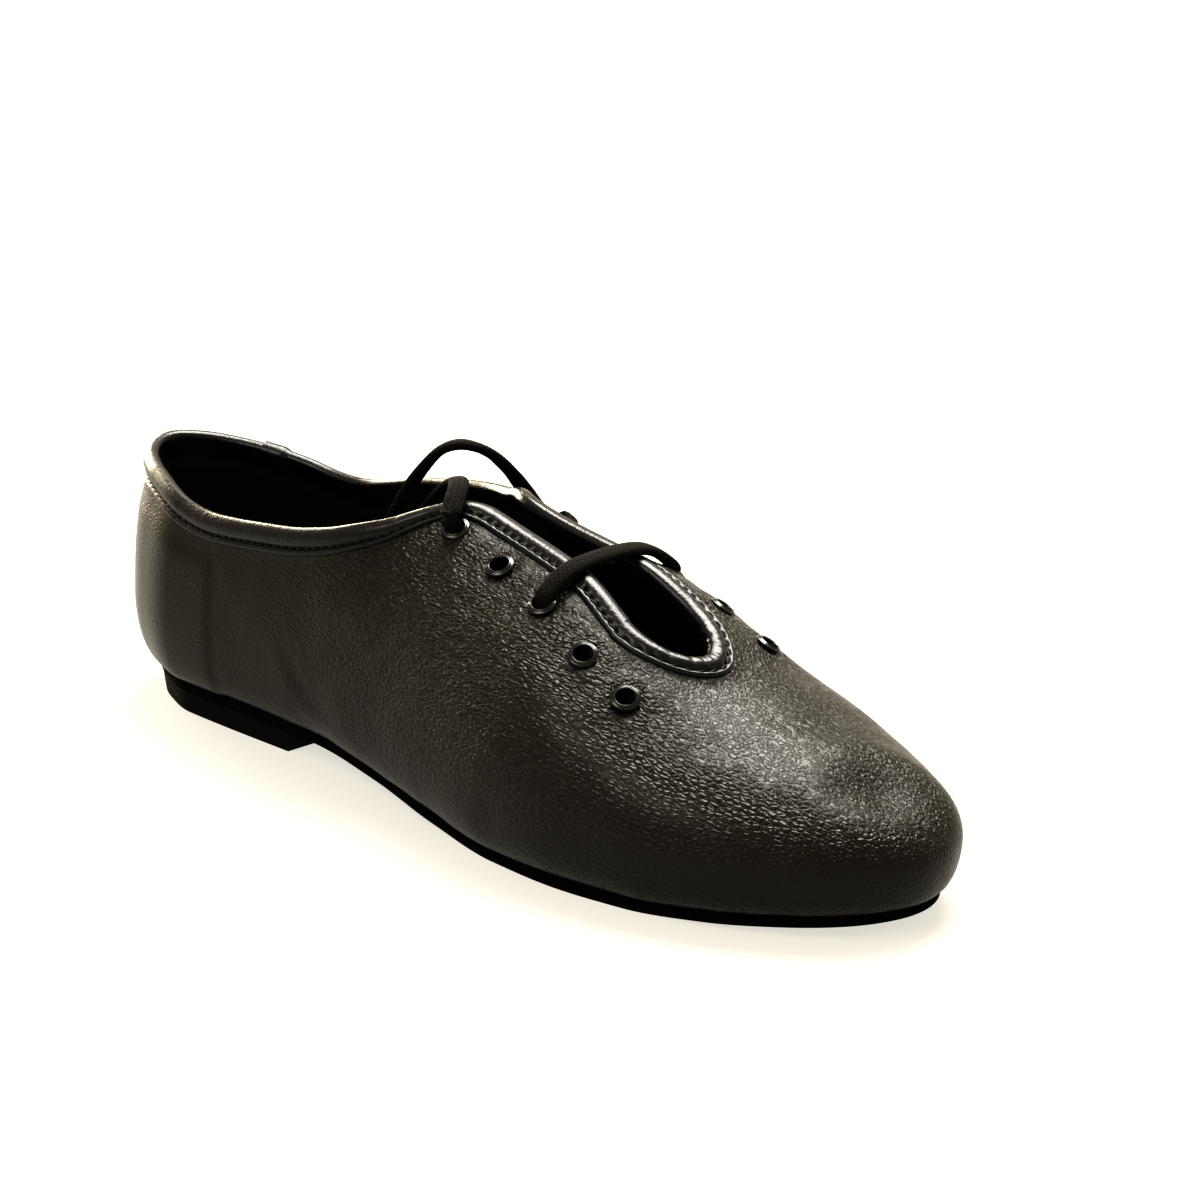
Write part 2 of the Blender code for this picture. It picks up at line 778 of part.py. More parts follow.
def lace_over(side, row, depth, lift):
    """Point and normal for a lace that lies over the facing at a depth below the edge."""
    turn, _ = eyelet_turn_and_depth(row, side)
    point, normal, _ = skin_frame(turn, depth)
    return point + normal * lift, normal


def make_lace_bar(material):
    """The bar across the throat between the third pair of eyelets."""
    row = EYELETS[2]
    over_eyelet = 2 * SEAT_GAP + EYELET_HEIGHT + LACE_THICKNESS / 2
    over_tape = 2 * SEAT_GAP + BINDING_THICKNESS + LACE_THICKNESS / 2 + 0.0003
    points = []
    faces = []
    for side in (LATERAL, MEDIAL):
        _, depth = eyelet_turn_and_depth(row, side)
        halfway = (depth + BINDING_OUTSIDE) / 2
        stations = (
            (depth, over_eyelet),
            (halfway, over_tape),
            (BINDING_OUTSIDE, over_tape),
            (BINDING_OUTSIDE / 3, over_tape),
        )
        placed = [lace_over(side, row, below, lift) for below, lift in stations]
        if side == MEDIAL:
            placed.reverse()
        points += [point for point, _ in placed]
        faces += [normal for _, normal in placed]
    return flat_lace("lace_bar", smooth_path(points, 3), smooth_path(faces, 3), material)


def make_lace_end(name, route, material):
    """Round tube along a free end of the lace."""
    path = smooth_path(route, 2)
    curve = bpy.data.curves.new(name, "CURVE")
    curve.dimensions = "3D"
    curve.bevel_depth = CORD_DIAMETER / 2
    curve.bevel_resolution = 2
    curve.use_fill_caps = True
    spline = curve.splines.new("POLY")
    spline.points.add(len(path) - 1)
    for knot, point in zip(spline.points, path):
        knot.co = (*point, 1)
    cord = bpy.data.objects.new(name, curve)
    SHOE.objects.link(cord)
    curve.materials.append(material)
    length = sum((end - start).length for start, end in zip(path, path[1:]))
    print(name, "length", round(length, 4))
    return cord


def clear_scene():
    """Remove whatever the file opened with."""
    for item in list(bpy.data.objects):
        bpy.data.objects.remove(item, do_unlink=True)


clear_scene()
SHOE = bpy.data.collections.new("jazz_shoe")
CUTTERS = bpy.data.collections.new("cutters")
bpy.context.scene.collection.children.link(SHOE)
bpy.context.scene.collection.children.link(CUTTERS)

BLACK_LEATHER = leather("black_leather", (0.018, 0.018, 0.016), 0.42)
BINDING_LEATHER = leather("binding_leather", (0.014, 0.015, 0.016), 0.32)
SUEDE_SOLE = leather("suede_sole", (0.010, 0.010, 0.010), 0.95)
RUBBER_HEEL = leather("rubber_heel", (0.012, 0.012, 0.012), 0.75)
INSOLE_LEATHER = leather("insole_leather", (0.020, 0.019, 0.018), 0.60)
BLACK_METAL = metal("black_metal", (0.030, 0.030, 0.030), 0.25)
LACE_COTTON = leather("lace_cotton", (0.015, 0.015, 0.015), 0.90)

shoe_upper = make_upper(BLACK_LEATHER)
cut_eyelet_holes(shoe_upper)
make_binding(BINDING_LEATHER)
make_back_strip(BLACK_LEATHER)
make_sole(SUEDE_SOLE)
make_heel(RUBBER_HEEL)
make_insole(INSOLE_LEATHER)
make_eyelets(BLACK_METAL)
make_lace_bar(LACE_COTTON)
for end_name, end_route in (("lateral", LATERAL_END), ("medial", MEDIAL_END)):
    make_lace_end(f"lace_end_{end_name}", end_route, LACE_COTTON)
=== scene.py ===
# %% [markdown]
# A jazz shoe is one piece of thin soft leather pulled over a last, with a folded tape sewn over its edge.
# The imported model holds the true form. This lesson dresses it: leather, binding, stitches, eyelets, lace,
# lining and soles. Every new piece is worked out from the same description of the last, so it lies where
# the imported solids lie.

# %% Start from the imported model
import math

import bmesh
import bpy
import numpy as np
from mathutils import Matrix, Vector, noise


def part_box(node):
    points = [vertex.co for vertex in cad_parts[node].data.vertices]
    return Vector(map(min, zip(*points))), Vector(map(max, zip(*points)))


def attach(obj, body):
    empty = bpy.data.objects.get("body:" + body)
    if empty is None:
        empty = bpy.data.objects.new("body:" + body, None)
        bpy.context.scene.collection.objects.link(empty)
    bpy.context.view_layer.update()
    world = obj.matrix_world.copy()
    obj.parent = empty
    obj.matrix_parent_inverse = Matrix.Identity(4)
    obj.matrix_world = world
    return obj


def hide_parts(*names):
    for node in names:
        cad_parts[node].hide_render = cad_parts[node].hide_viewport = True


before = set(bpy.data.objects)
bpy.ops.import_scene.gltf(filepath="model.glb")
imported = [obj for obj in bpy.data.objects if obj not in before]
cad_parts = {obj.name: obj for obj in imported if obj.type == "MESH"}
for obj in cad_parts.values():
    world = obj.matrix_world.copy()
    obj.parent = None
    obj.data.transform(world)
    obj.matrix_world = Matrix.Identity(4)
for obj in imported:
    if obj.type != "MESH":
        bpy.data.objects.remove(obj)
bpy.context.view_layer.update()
bpy.ops.object.select_all(action="DESELECT")
MM = 0.001
print("nodes", len(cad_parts))

# %% [markdown]
# The camera stands where the photographer stood: low in front of the toe's lateral side. Its place was
# found by fitting the last's outline, so it is written as an angle, a distance and a lens. The picture is
# square and the shoe lies a little left of and below its middle.

# %% Camera
PICTURE = 1200
CAMERA_AZIMUTH = math.radians(43.575)
CAMERA_ELEVATION = math.radians(18.12)
CAMERA_ROLL = math.radians(1.346)
CAMERA_DISTANCE = 1.06577
CAMERA_TARGET = Vector((0, 0, 0.030))
TARGET_PIXEL = (513.9, 674.9)
FOCAL_PIXELS = 4293.0
SENSOR_MM = 36.0


def make_camera():
    """Camera with the photo's angle, distance, roll and framing."""
    looking = Vector((
        -math.sin(CAMERA_AZIMUTH) * math.cos(CAMERA_ELEVATION),
        math.cos(CAMERA_AZIMUTH) * math.cos(CAMERA_ELEVATION),
        -math.sin(CAMERA_ELEVATION),
    ))
    level = Vector((math.cos(CAMERA_AZIMUTH), math.sin(CAMERA_AZIMUTH), 0))
    upright = level.cross(looking)
    right = level * math.cos(CAMERA_ROLL) + upright * math.sin(CAMERA_ROLL)
    up = upright * math.cos(CAMERA_ROLL) - level * math.sin(CAMERA_ROLL)
    sideways = (TARGET_PIXEL[0] - PICTURE / 2) / FOCAL_PIXELS * CAMERA_DISTANCE
    upwards = (PICTURE / 2 - TARGET_PIXEL[1]) / FOCAL_PIXELS * CAMERA_DISTANCE
    lens = bpy.data.cameras.new("camera")
    lens.sensor_width = SENSOR_MM
    lens.lens = FOCAL_PIXELS / PICTURE * SENSOR_MM
    lens.clip_start = 0.05
    camera = bpy.data.objects.new("camera", lens)
    bpy.context.scene.collection.objects.link(camera)
    camera.matrix_world = Matrix((right, up, -looking)).transposed().to_4x4()
    camera.location = CAMERA_TARGET - looking * CAMERA_DISTANCE - right * sideways - up * upwards
    bpy.context.scene.camera = camera
    return camera


camera = make_camera()
print("camera at", [round(value, 3) for value in camera.location])

# %% [markdown]
# The last is the wooden foot that the upper is pulled over. A few sections describe it: widths at heel and
# ball, the swing of its middle line, the height of its crest over its widest line, and how full the section
# is. Smooth curves through these rows give every point between them.

# %% The last's sizes
UPPER_LENGTH = 0.264
BALL_WIDTH = 0.0910
HEEL_WIDTH = 0.0600
INSTEP_RISE = 0.0700
BELT_RISE = 0.0180
BACK_HEIGHT = 0.0635
SIDE_HEIGHTS = {-1: 0.0570, 1: 0.0553}
BACK_TUCK = 0.0004
BACK_TUCK_SHARE = 0.13
WALL = 0.0014
EDGE = {"share": (0.0, 0.30, 0.75, 1.0), "inset": (0.0066, 0.0058, 0.0058, 0.0042)}
HEEL_INSET = EDGE["inset"][1]
MARGIN_WIDTH = 0.0080
THROAT_TOP = 0.460
THROAT_LENGTH = 0.0755
THROAT_WIDTH = 0.0248
THROAT_END_LENGTH = 0.0165
THROAT_END_SHIFT = -0.0018
SOLE_THICKNESS = 0.0030
HEEL_LIFT = 0.0062
TOE_SPRING = 0.0038
SEAT_GAP = 0.0003
LATERAL, MEDIAL = -1, 1

LAST = {
    "share": (0.0, 0.03, 0.07, 0.13, 0.22, 0.32, 0.42, 0.52, 0.62, 0.70, 0.78, 0.86, 0.92, 0.97, 1.0),
    "heel": (0.0, 0.60, 0.83, 1.0, 1.02, 1.01, 0.75, 0.37, 0.10, 0.0, 0.0, 0.0, 0.0, 0.0, 0.0),
    "ball": (0.0, 0.0, 0.0, 0.0, 0.0, 0.01, 0.25, 0.61, 0.90, 1.0, 0.975, 0.855, 0.675, 0.435, 0.0),
    "swing": (0, 0, 0, 0, 0, -0.002, -0.008, -0.014, -0.010, -0.004, 0.010, 0.026, 0.036, 0.043, 0.046),
    "crest": (0.68, 0.68, 0.69, 0.72, 0.90, 1.03, 0.77, 0.695, 0.655, 0.54, 0.41, 0.32, 0.25, 0.165, 0.0),
    "belt": (1.0, 1.0, 1.0, 1.0, 1.0, 1.0, 1.0, 0.99, 0.96, 0.90, 0.80, 0.68, 0.60, 0.53, 0.50),
    "lift": (1.0, 1.0, 1.0, 1.0, 1.0, 0.92, 0.64, 0.23, 0.0, 0.0, 0.0, 0.0, 0.0, 0.0, 0.0),
    "spring": (0.0, 0.0, 0.0, 0.0, 0.0, 0.0, 0.0, 0.0, 0.0, 0.0, 0.05, 0.28, 0.56, 0.83, 1.0),
    "fullness": (2.13, 2.13, 2.13, 2.13, 2.13, 2.10, 2.04, 2.00, 1.98, 2.00, 2.05, 2.10, 2.15, 2.20, 2.20),
}
COLLAR = {
    "share": (0.0, 0.08, 0.175, 0.25, 0.33, 0.39, THROAT_TOP),
    "back": (1.0, 0.58, 0.0, 0.0, 0.0, 0.0, 0.0),
    LATERAL: (0.0, 0.0, 0.0, 0.11, 0.28, 0.56, 1.0),
    MEDIAL: (0.0, 0.0, 0.0, 0.27, 0.49, 0.65, 1.0),
}
THROAT = {
    "along": (0.0, 0.09, 0.28, 0.60, 1.0),
    LATERAL: (0.62, 0.36, 0.38, 0.54, 0.94),
    MEDIAL: (0.95, 0.78, 0.76, 0.76, 0.74),
}


# %% Smooth curves through the rows
def smooth_curve(places, values, at):
    """A curve through the values that never overshoots them, read at many places at once."""
    places, values = np.asarray(places, float), np.asarray(values, float)
    steps = np.diff(places)
    slopes = np.diff(values) / steps
    tangents = np.concatenate(([slopes[0]], np.zeros(len(places) - 2), [slopes[-1]]))
    before, after = slopes[:-1], slopes[1:]
    rising = before * after > 0
    first, second = 2 * steps[1:] + steps[:-1], steps[1:] + 2 * steps[:-1]
    safe_before, safe_after = np.where(rising, before, 1), np.where(rising, after, 1)
    mean = (first + second) / (first / safe_before + second / safe_after)
    tangents[1:-1] = np.where(rising, mean, 0)
    at = np.clip(at, places[0], places[-1])
    i = np.clip(np.searchsorted(places, at, side="right") - 1, 0, len(places) - 2)
    u = (at - places[i]) / steps[i]
    value = (1 + 2 * u) * (1 - u) ** 2 * values[i] + u * u * (3 - 2 * u) * values[i + 1]
    return value + u * (1 - u) ** 2 * steps[i] * tangents[i] + u * u * (u - 1) * steps[i] * tangents[i + 1]


def last_value(name, share):
    return smooth_curve(LAST["share"], LAST[name], share)


def rounded_value(lengths, share):
    """A length that closes to nothing in a round end, read through its square."""
    return np.sqrt(np.maximum(smooth_curve(LAST["share"], np.square(lengths), share), 0))


def half_width(share):
    widths = HEEL_WIDTH * np.array(LAST["heel"]) + BALL_WIDTH * np.array(LAST["ball"])
    return rounded_value(widths / 2, share)


def crest_rise(share):
    return rounded_value(INSTEP_RISE * np.array(LAST["crest"]), share)


ALL_SHARES = np.linspace(0, 1, 201)
SWING = BALL_WIDTH * last_value("swing", ALL_SHARES)
SIDE_SHIFT = -(max(SWING + half_width(ALL_SHARES)) + min(SWING - half_width(ALL_SHARES))) / 2
X_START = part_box("upper")[0].x
THROAT_END = THROAT_TOP + THROAT_LENGTH / UPPER_LENGTH
THROAT_BEND = THROAT_END - THROAT_END_LENGTH / UPPER_LENGTH
print("upper starts at", round(X_START, 4), "and shifts sideways by", round(SIDE_SHIFT, 5))


# %% Heights and outline of the last
def share_of(x):
    return (x - X_START) / UPPER_LENGTH


def place_of(share):
    return X_START + share * UPPER_LENGTH


def centre_line(share):
    return SIDE_SHIFT + BALL_WIDTH * last_value("swing", share)


def sole_bottom(share):
    return HEEL_LIFT * last_value("lift", share) + TOE_SPRING * last_value("spring", share)


def feather_height(share):
    return sole_bottom(share) + SOLE_THICKNESS + SEAT_GAP


def belt_height(share):
    return feather_height(share) + BELT_RISE * last_value("belt", share)


def edge_inset(share):
    return smooth_curve(EDGE["share"], EDGE["inset"], share)


def by_side(table, row_places, at, side):
    """A table's lateral or medial value, for each place's own side."""
    lateral = smooth_curve(row_places, table[LATERAL], at)
    medial = smooth_curve(row_places, table[MEDIAL], at)
    return np.where(side == LATERAL, lateral, medial)


def throat_gap(share, side):
    """Way from the middle line to the throat's edge."""
    along = (share - THROAT_TOP) / (THROAT_BEND - THROAT_TOP)
    return THROAT_WIDTH / 2 * by_side(THROAT, THROAT["along"], along, side)


def crown_height(x, y):
    """Height of the last's upper face over a point of the floor."""
    share = share_of(x)
    power = last_value("fullness", share)
    across = np.clip(np.abs(y - centre_line(share)) / np.maximum(half_width(share), 1e-9), 0, 1)
    return belt_height(share) + crest_rise(share) * (1 - across ** power) ** (1 / power)


def collar_height(share, side):
    """Height of the collar's edge behind the throat."""
    heights = []
    for one in (LATERAL, MEDIAL):
        edge = centre_line(THROAT_TOP) + one * throat_gap(THROAT_TOP, one)
        facing = crown_height(place_of(THROAT_TOP), edge)
        low = SIDE_HEIGHTS[one]
        rows = low + np.array(COLLAR["back"]) * (BACK_HEIGHT - low) + np.array(COLLAR[one]) * (facing - low)
        heights.append(smooth_curve(COLLAR["share"], rows, share))
    return np.where(side == LATERAL, heights[0], heights[1])


def outline(turn):
    """Plan points on the belt: heel at turn 0, toe at half a turn, the lateral side first."""
    share = (1 - np.cos(turn)) / 2
    side = np.where(np.sin(turn) >= 0, LATERAL, MEDIAL)
    return np.stack([place_of(share), centre_line(share) + side * half_width(share)], -1)


def outline_normal(turn):
    along = outline(turn + 0.004) - outline(turn - 0.004)
    across = np.stack([along[..., 1], -along[..., 0]], -1)
    return across / np.linalg.norm(across, axis=-1, keepdims=True)


# %% [markdown]
# The skin is the outer face of the leather. Columns run round the shoe at even steps along its widest line,
# and each column runs from the topline down over the wall, round the feather edge and in under the foot.
# With the way down each column added up, any place on the shoe has two plain numbers: how far round, and
# how many millimetres below the edge. Seams, tapes, creases and eyelets are all placed with them.

# %% The skin as a fine net
COLUMNS = 1200
TURNS = np.linspace(0, 2 * np.pi, 8001)
BELT_WAY = np.concatenate(([0], np.cumsum(np.linalg.norm(np.diff(outline(TURNS), axis=0), axis=1))))
COLUMN_TURNS = np.interp(np.arange(COLUMNS) / COLUMNS * BELT_WAY[-1], BELT_WAY, TURNS)
WALL_LEVELS, EDGE_LEVELS, MARGIN_LEVELS = 70, 25, 9
BELT_LEVEL = WALL_LEVELS - 1
FEATHER_LEVEL = BELT_LEVEL + EDGE_LEVELS - 1
SKIN_LEVELS = np.concatenate((
    np.linspace(1, 0, WALL_LEVELS),
    np.linspace(0, -1, EDGE_LEVELS)[1:],
    np.linspace(-1, -2, MARGIN_LEVELS)[1:],
))
CORNER_SOFTNESS = 7.0


def top_angles(turn):
    """Superellipse angle at which the topline cuts each column, with the throat's corners softened."""
    share = (1 - np.cos(turn)) / 2
    side = np.where(np.sin(turn) >= 0, LATERAL, MEDIAL)
    power = last_value("fullness", share)
    above_belt = collar_height(share, side) - belt_height(share)
    rise = np.clip(above_belt / np.maximum(crest_rise(share), 1e-9), 0, 1)
    cut = np.clip(share, THROAT_TOP, THROAT_BEND)
    gap = throat_gap(cut, side) / half_width(cut)
    return np.where(share <= THROAT_TOP, np.arcsin(rise ** (power / 2)), np.arccos(gap ** (power / 2)))


def soften(values, spread):
    """Average a closed row of values with its neighbours."""
    reach = int(4 * spread)
    weights = np.exp(-0.5 * (np.arange(-reach, reach + 1) / spread) ** 2)
    padded = np.concatenate((values[-reach:], values, values[:reach]))
    return np.convolve(padded, weights / weights.sum(), "valid")


def skin_net(turn):
    """Points of every column at every level."""
    share = ((1 - np.cos(turn)) / 2)[:, None]
    side = np.where(np.sin(turn) >= 0, LATERAL, MEDIAL)[:, None]
    power = last_value("fullness", share)
    low, normal = outline(turn)[:, None, :], outline_normal(turn)[:, None, :]
    top = soften(top_angles(turn), CORNER_SOFTNESS)[:, None]
    climb = np.clip(SKIN_LEVELS, 0, 1)[None, :]
    across, up = np.cos(top * climb) ** (2 / power), np.sin(top * climb) ** (2 / power)
    tuck = BACK_TUCK * up * up * np.maximum(1 - share / BACK_TUCK_SHARE, 0) ** 2
    wall = np.stack(np.broadcast_arrays(
        place_of(share) + tuck,
        centre_line(share) + side * half_width(share) * across,
        belt_height(share) + crest_rise(share) * up,
    ), -1)
    part = np.clip((share - THROAT_BEND) / (1 - THROAT_BEND), 0, 1)
    cut = THROAT_BEND + THROAT_END_LENGTH * part / UPPER_LENGTH
    sideways = throat_gap(THROAT_BEND, side) * np.sqrt(np.maximum(1 - part * part, 0))
    rim = np.stack([place_of(cut), centre_line(cut) + side * sideways + THROAT_END_SHIFT * part], -1)
    reach = ((1 - across) / np.maximum(1 - np.cos(top) ** (2 / power), 1e-9))[..., None]
    spot = low + (rim - low) * reach
    vamp = np.concatenate([spot, crown_height(spot[..., 0], spot[..., 1])[..., None]], -1)
    above = np.where((share <= THROAT_BEND)[..., None], wall, vamp)
    angle = np.clip(-SKIN_LEVELS, 0, 1)[None, :] * np.pi / 2
    inset = edge_inset(share)
    tucked = inset * (1 - np.cos(angle)) + MARGIN_WIDTH * np.clip(-1 - SKIN_LEVELS, 0, 1)[None, :]
    under = low - normal * tucked[..., None]
    foot = feather_height(share_of((low - normal * inset[..., None])[..., 0]))
    margin = feather_height(share_of(under[..., 0]))
    height = belt_height(share) - (belt_height(share) - foot) * np.sin(angle)
    height = np.where(SKIN_LEVELS[None, :] < -1, margin, height)
    below = np.concatenate([under, height[..., None]], -1)
    return np.where((SKIN_LEVELS >= 0)[None, :, None], above, below)


SKIN = skin_net(COLUMN_TURNS)
SKIN_DEPTH = np.concatenate(
    (np.zeros((COLUMNS, 1)), np.cumsum(np.linalg.norm(np.diff(SKIN, axis=1), axis=2), axis=1)), axis=1)
round_way = np.roll(SKIN, -1, 0) - np.roll(SKIN, 1, 0)
SKIN_NORMAL = -np.cross(round_way, np.gradient(SKIN, axis=1))
SKIN_NORMAL /= np.maximum(np.linalg.norm(SKIN_NORMAL, axis=2, keepdims=True), 1e-12)
print("net", SKIN.shape[:2], "belt way", round(BELT_WAY[-1] * 1000), "mm")


# %% Reading the skin at any place
def one_column(i, depths):
    """Points and normals of one column at the given depths below the edge."""
    i = int(i) % COLUMNS
    read = [np.interp(depths, SKIN_DEPTH[i], row) for row in (*SKIN[i].T, *SKIN_NORMAL[i].T)]
    return np.stack(read[:3], -1), np.stack(read[3:], -1)


def skin_at(way, depths):
    """Points and normals at a share of the way round, at several depths."""
    place = way * COLUMNS
    part = place - math.floor(place)
    first, first_normal = one_column(math.floor(place), depths)
    second, second_normal = one_column(math.floor(place) + 1, depths)
    normal = first_normal * (1 - part) + second_normal * part
    return first * (1 - part) + second * part, normal / np.linalg.norm(normal, axis=1, keepdims=True)


def way_of(share, side):
    """Share of the way round for a share of the length on one side."""
    turn = math.acos(1 - 2 * share)
    turn = turn if side == LATERAL else 2 * math.pi - turn
    return float(np.interp(turn, TURNS, BELT_WAY) / BELT_WAY[-1])


TOP_WAY = np.concatenate(([0], np.cumsum(np.linalg.norm(np.roll(SKIN[:, 0], -1, 0) - SKIN[:, 0], axis=1))))
TOP_LENGTH = TOP_WAY[-1]
COLUMN_WAYS = np.arange(COLUMNS + 1) / COLUMNS


def way_of_top(length):
    """Share of the way round for a length along the topline from the back seam."""
    return float(np.interp(length % TOP_LENGTH, TOP_WAY, COLUMN_WAYS))


def top_length_of(way):
    return float(np.interp(way, COLUMN_WAYS, TOP_WAY))


print("topline is", round(TOP_LENGTH * 1000), "mm long")

# %% [markdown]
# A maker cuts flat blanks and pulls them over the last. The same is done here: every soft piece starts as a
# flat grid, and each point of the grid is laid on the skin by its two numbers. The grid keeps even quads,
# which take creases and shade smoothly, where a sculpted blob would not.


# %% Blanks and modifiers
def select_only(piece):
    bpy.ops.object.select_all(action="DESELECT")
    piece.select_set(True)
    bpy.context.view_layer.objects.active = piece


def flat_blank(name, columns, rows):
    """A flat grid, one unit square, ready to be laid on the last."""
    bpy.ops.object.select_all(action="DESELECT")
    bpy.ops.mesh.primitive_grid_add(x_subdivisions=columns, y_subdivisions=rows, size=1, calc_uvs=True)
    piece = bpy.context.object
    piece.name = piece.data.name = name
    return piece


def grid_steps(piece):
    """Each vertex's column and row number on a flat blank, with the number of columns and rows."""
    spots = np.zeros(len(piece.data.vertices) * 3)
    piece.data.vertices.foreach_get("co", spots)
    spots = spots.reshape(-1, 3)[:, :2] + 0.5
    counts = [len(np.unique(np.round(spots[:, k], 5))) - 1 for k in (0, 1)]
    numbers = [np.rint(spots[:, k] * counts[k]).astype(int) for k in (0, 1)]
    return numbers[0], numbers[1], counts[0], counts[1]


def lay(piece, points):
    piece.data.vertices.foreach_set("co", np.asarray(points, float).ravel())
    piece.data.update()


def edit(piece, *steps):
    """Run edit-mode operators on the whole mesh."""
    select_only(piece)
    bpy.ops.object.mode_set(mode="EDIT")
    bpy.ops.mesh.select_all(action="SELECT")
    for operator, settings in steps:
        operator(**settings)
    bpy.ops.object.mode_set(mode="OBJECT")


def merge_seam(piece, outward=True):
    steps = [(bpy.ops.mesh.remove_doubles, {"threshold": 0.00002})]
    if outward:
        steps.append((bpy.ops.mesh.normals_make_consistent, {"inside": False}))
    edit(piece, *steps)


def modify(piece, kind, **settings):
    """Add a modifier and apply it."""
    select_only(piece)
    change = piece.modifiers.new(kind.lower(), kind)
    for key, value in settings.items():
        setattr(change, key, value)
    bpy.ops.object.modifier_apply(modifier=change.name)


def smooth(piece, angle):
    select_only(piece)
    bpy.ops.object.shade_smooth_by_angle(angle=math.radians(angle))


def thicken(piece, wall):
    """Give a sheet its thickness, on the side towards the foot."""
    modify(piece, "SOLIDIFY", thickness=wall, offset=-1.0, use_rim=True)


def round_edges(piece, width, segments=2):
    """Wear the sharp edges of a slab a little round."""
    limit = math.radians(50)
    modify(piece, "BEVEL", width=width, segments=segments, limit_method="ANGLE", angle_limit=limit)
    smooth(piece, 45)


def finish_piece(piece, material, slot, *nodes):
    """Dress a piece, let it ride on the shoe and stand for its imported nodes."""
    piece.data.materials.clear()
    piece.data.materials.append(material)
    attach(piece, "root")
    if nodes:
        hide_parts(*nodes)
    print(piece.name, len(piece.data.polygons), "faces")


def faces_out(piece):
    """Turn a sheet over if its faces point at the inside of the shoe."""
    middle = Vector((0, 0, 0.02))
    outward = sum(face.normal.dot(face.center - middle) * face.area for face in piece.data.polygons)
    if outward < 0:
        edit(piece, (bpy.ops.mesh.flip_normals, {}))


# %% [markdown]
# Materials come before the pieces. Colours are given as screen colours and turned to light values by one
# function. All the blacks are different: dyed leather keeps a little warm grey, suede drinks the light, and
# enamel on the eyelets mirrors it.


# %% Colour and node helpers
MIX_FIRST, MIX_SECOND, MIX_RESULT = 6, 7, 2


def shade(code):
    """Light value of a screen colour written as hex."""
    parts = [int(code[i:i + 2], 16) / 255 for i in (1, 3, 5)]
    linear = [part / 12.92 if part <= 0.04045 else ((part + 0.055) / 1.055) ** 2.4 for part in parts]
    return (*linear, 1.0)


def add_node(material, kind, values=None, links=None, **settings):
    """Add a node with its settings, socket values and incoming links."""
    node = material.node_tree.nodes.new(kind)
    for key, value in settings.items():
        setattr(node, key, value)
    for socket, value in (values or {}).items():
        node.inputs[socket].default_value = value
    for socket, source in (links or {}).items():
        material.node_tree.links.new(source, node.inputs[socket])
    return node


def new_material(name, **values):
    """A material with constant values set on its shader."""
    material = bpy.data.materials.new(name)
    material.use_nodes = True
    shader = material.node_tree.nodes["Principled BSDF"]
    for socket, value in values.items():
        shader.inputs[socket.replace("_", " ")].default_value = value
    return material, shader


def connect(material, shader, **sources):
    for socket, source in sources.items():
        material.node_tree.links.new(source, shader.inputs[socket.replace("_", " ")])


def object_place(material):
    return add_node(material, "ShaderNodeTexCoord").outputs["Object"]


def painted(material, name):
    """A value that was painted on the mesh."""
    return add_node(material, "ShaderNodeAttribute", attribute_name=name).outputs["Fac"]


def noise_texture(material, place, scale, detail, **more):
    values = {"Scale": scale, "Detail": detail, **more}
    return add_node(material, "ShaderNodeTexNoise", values, {"Vector": place}).outputs


def stretch(material, place, scale, rotation):
    values = {"Scale": scale, "Rotation": rotation}
    return add_node(material, "ShaderNodeMapping", values, {"Vector": place}).outputs["Vector"]


def calculate(material, operation, *inputs):
    """Result of a Math node, from sockets of other nodes or plain numbers."""
    numbers = {k: one for k, one in enumerate(inputs) if isinstance(one, float)}
    sockets = {k: one for k, one in enumerate(inputs) if not isinstance(one, float)}
    return add_node(material, "ShaderNodeMath", numbers, sockets, operation=operation).outputs[0]


def between(material, value, ends):
    """A value moved between two ends."""
    values = {"To Min": ends[0], "To Max": ends[1]}
    return add_node(material, "ShaderNodeMapRange", values, {"Value": value}).outputs[0]


def mix_colours(material, codes, factor):
    colours = {MIX_FIRST: shade(codes[0]), MIX_SECOND: shade(codes[1])}
    return add_node(material, "ShaderNodeMix", colours, {0: factor}, data_type="RGBA").outputs[MIX_RESULT]


def bump(material, height, distance, strength=1.0, **links):
    """Normal of a relief of the given height, over another relief's Normal if there is one."""
    values = {"Strength": strength, "Distance": distance}
    return add_node(material, "ShaderNodeBump", values, {"Height": height, **links}).outputs["Normal"]


# %% [markdown]
# Dyed and finished goat leather. The maker's stretching leaves pebbles about a millimetre wide on the
# vamp and quarters, and almost none on the stiff heel. Where the foot bends it, fine wrinkles run along
# the shoe. Two painted values on the mesh say how much of each there is, so that one material serves the
# whole upper.

# %% Goat leather
PEBBLE, PEBBLE_STRAY, PEBBLE_RISE = 1.15 * MM, 0.6 * MM, 0.24 * MM
WRINKLE, WRINKLE_RISE = 2.2 * MM, 1.5 * MM
PORE_RISE = 0.10 * MM


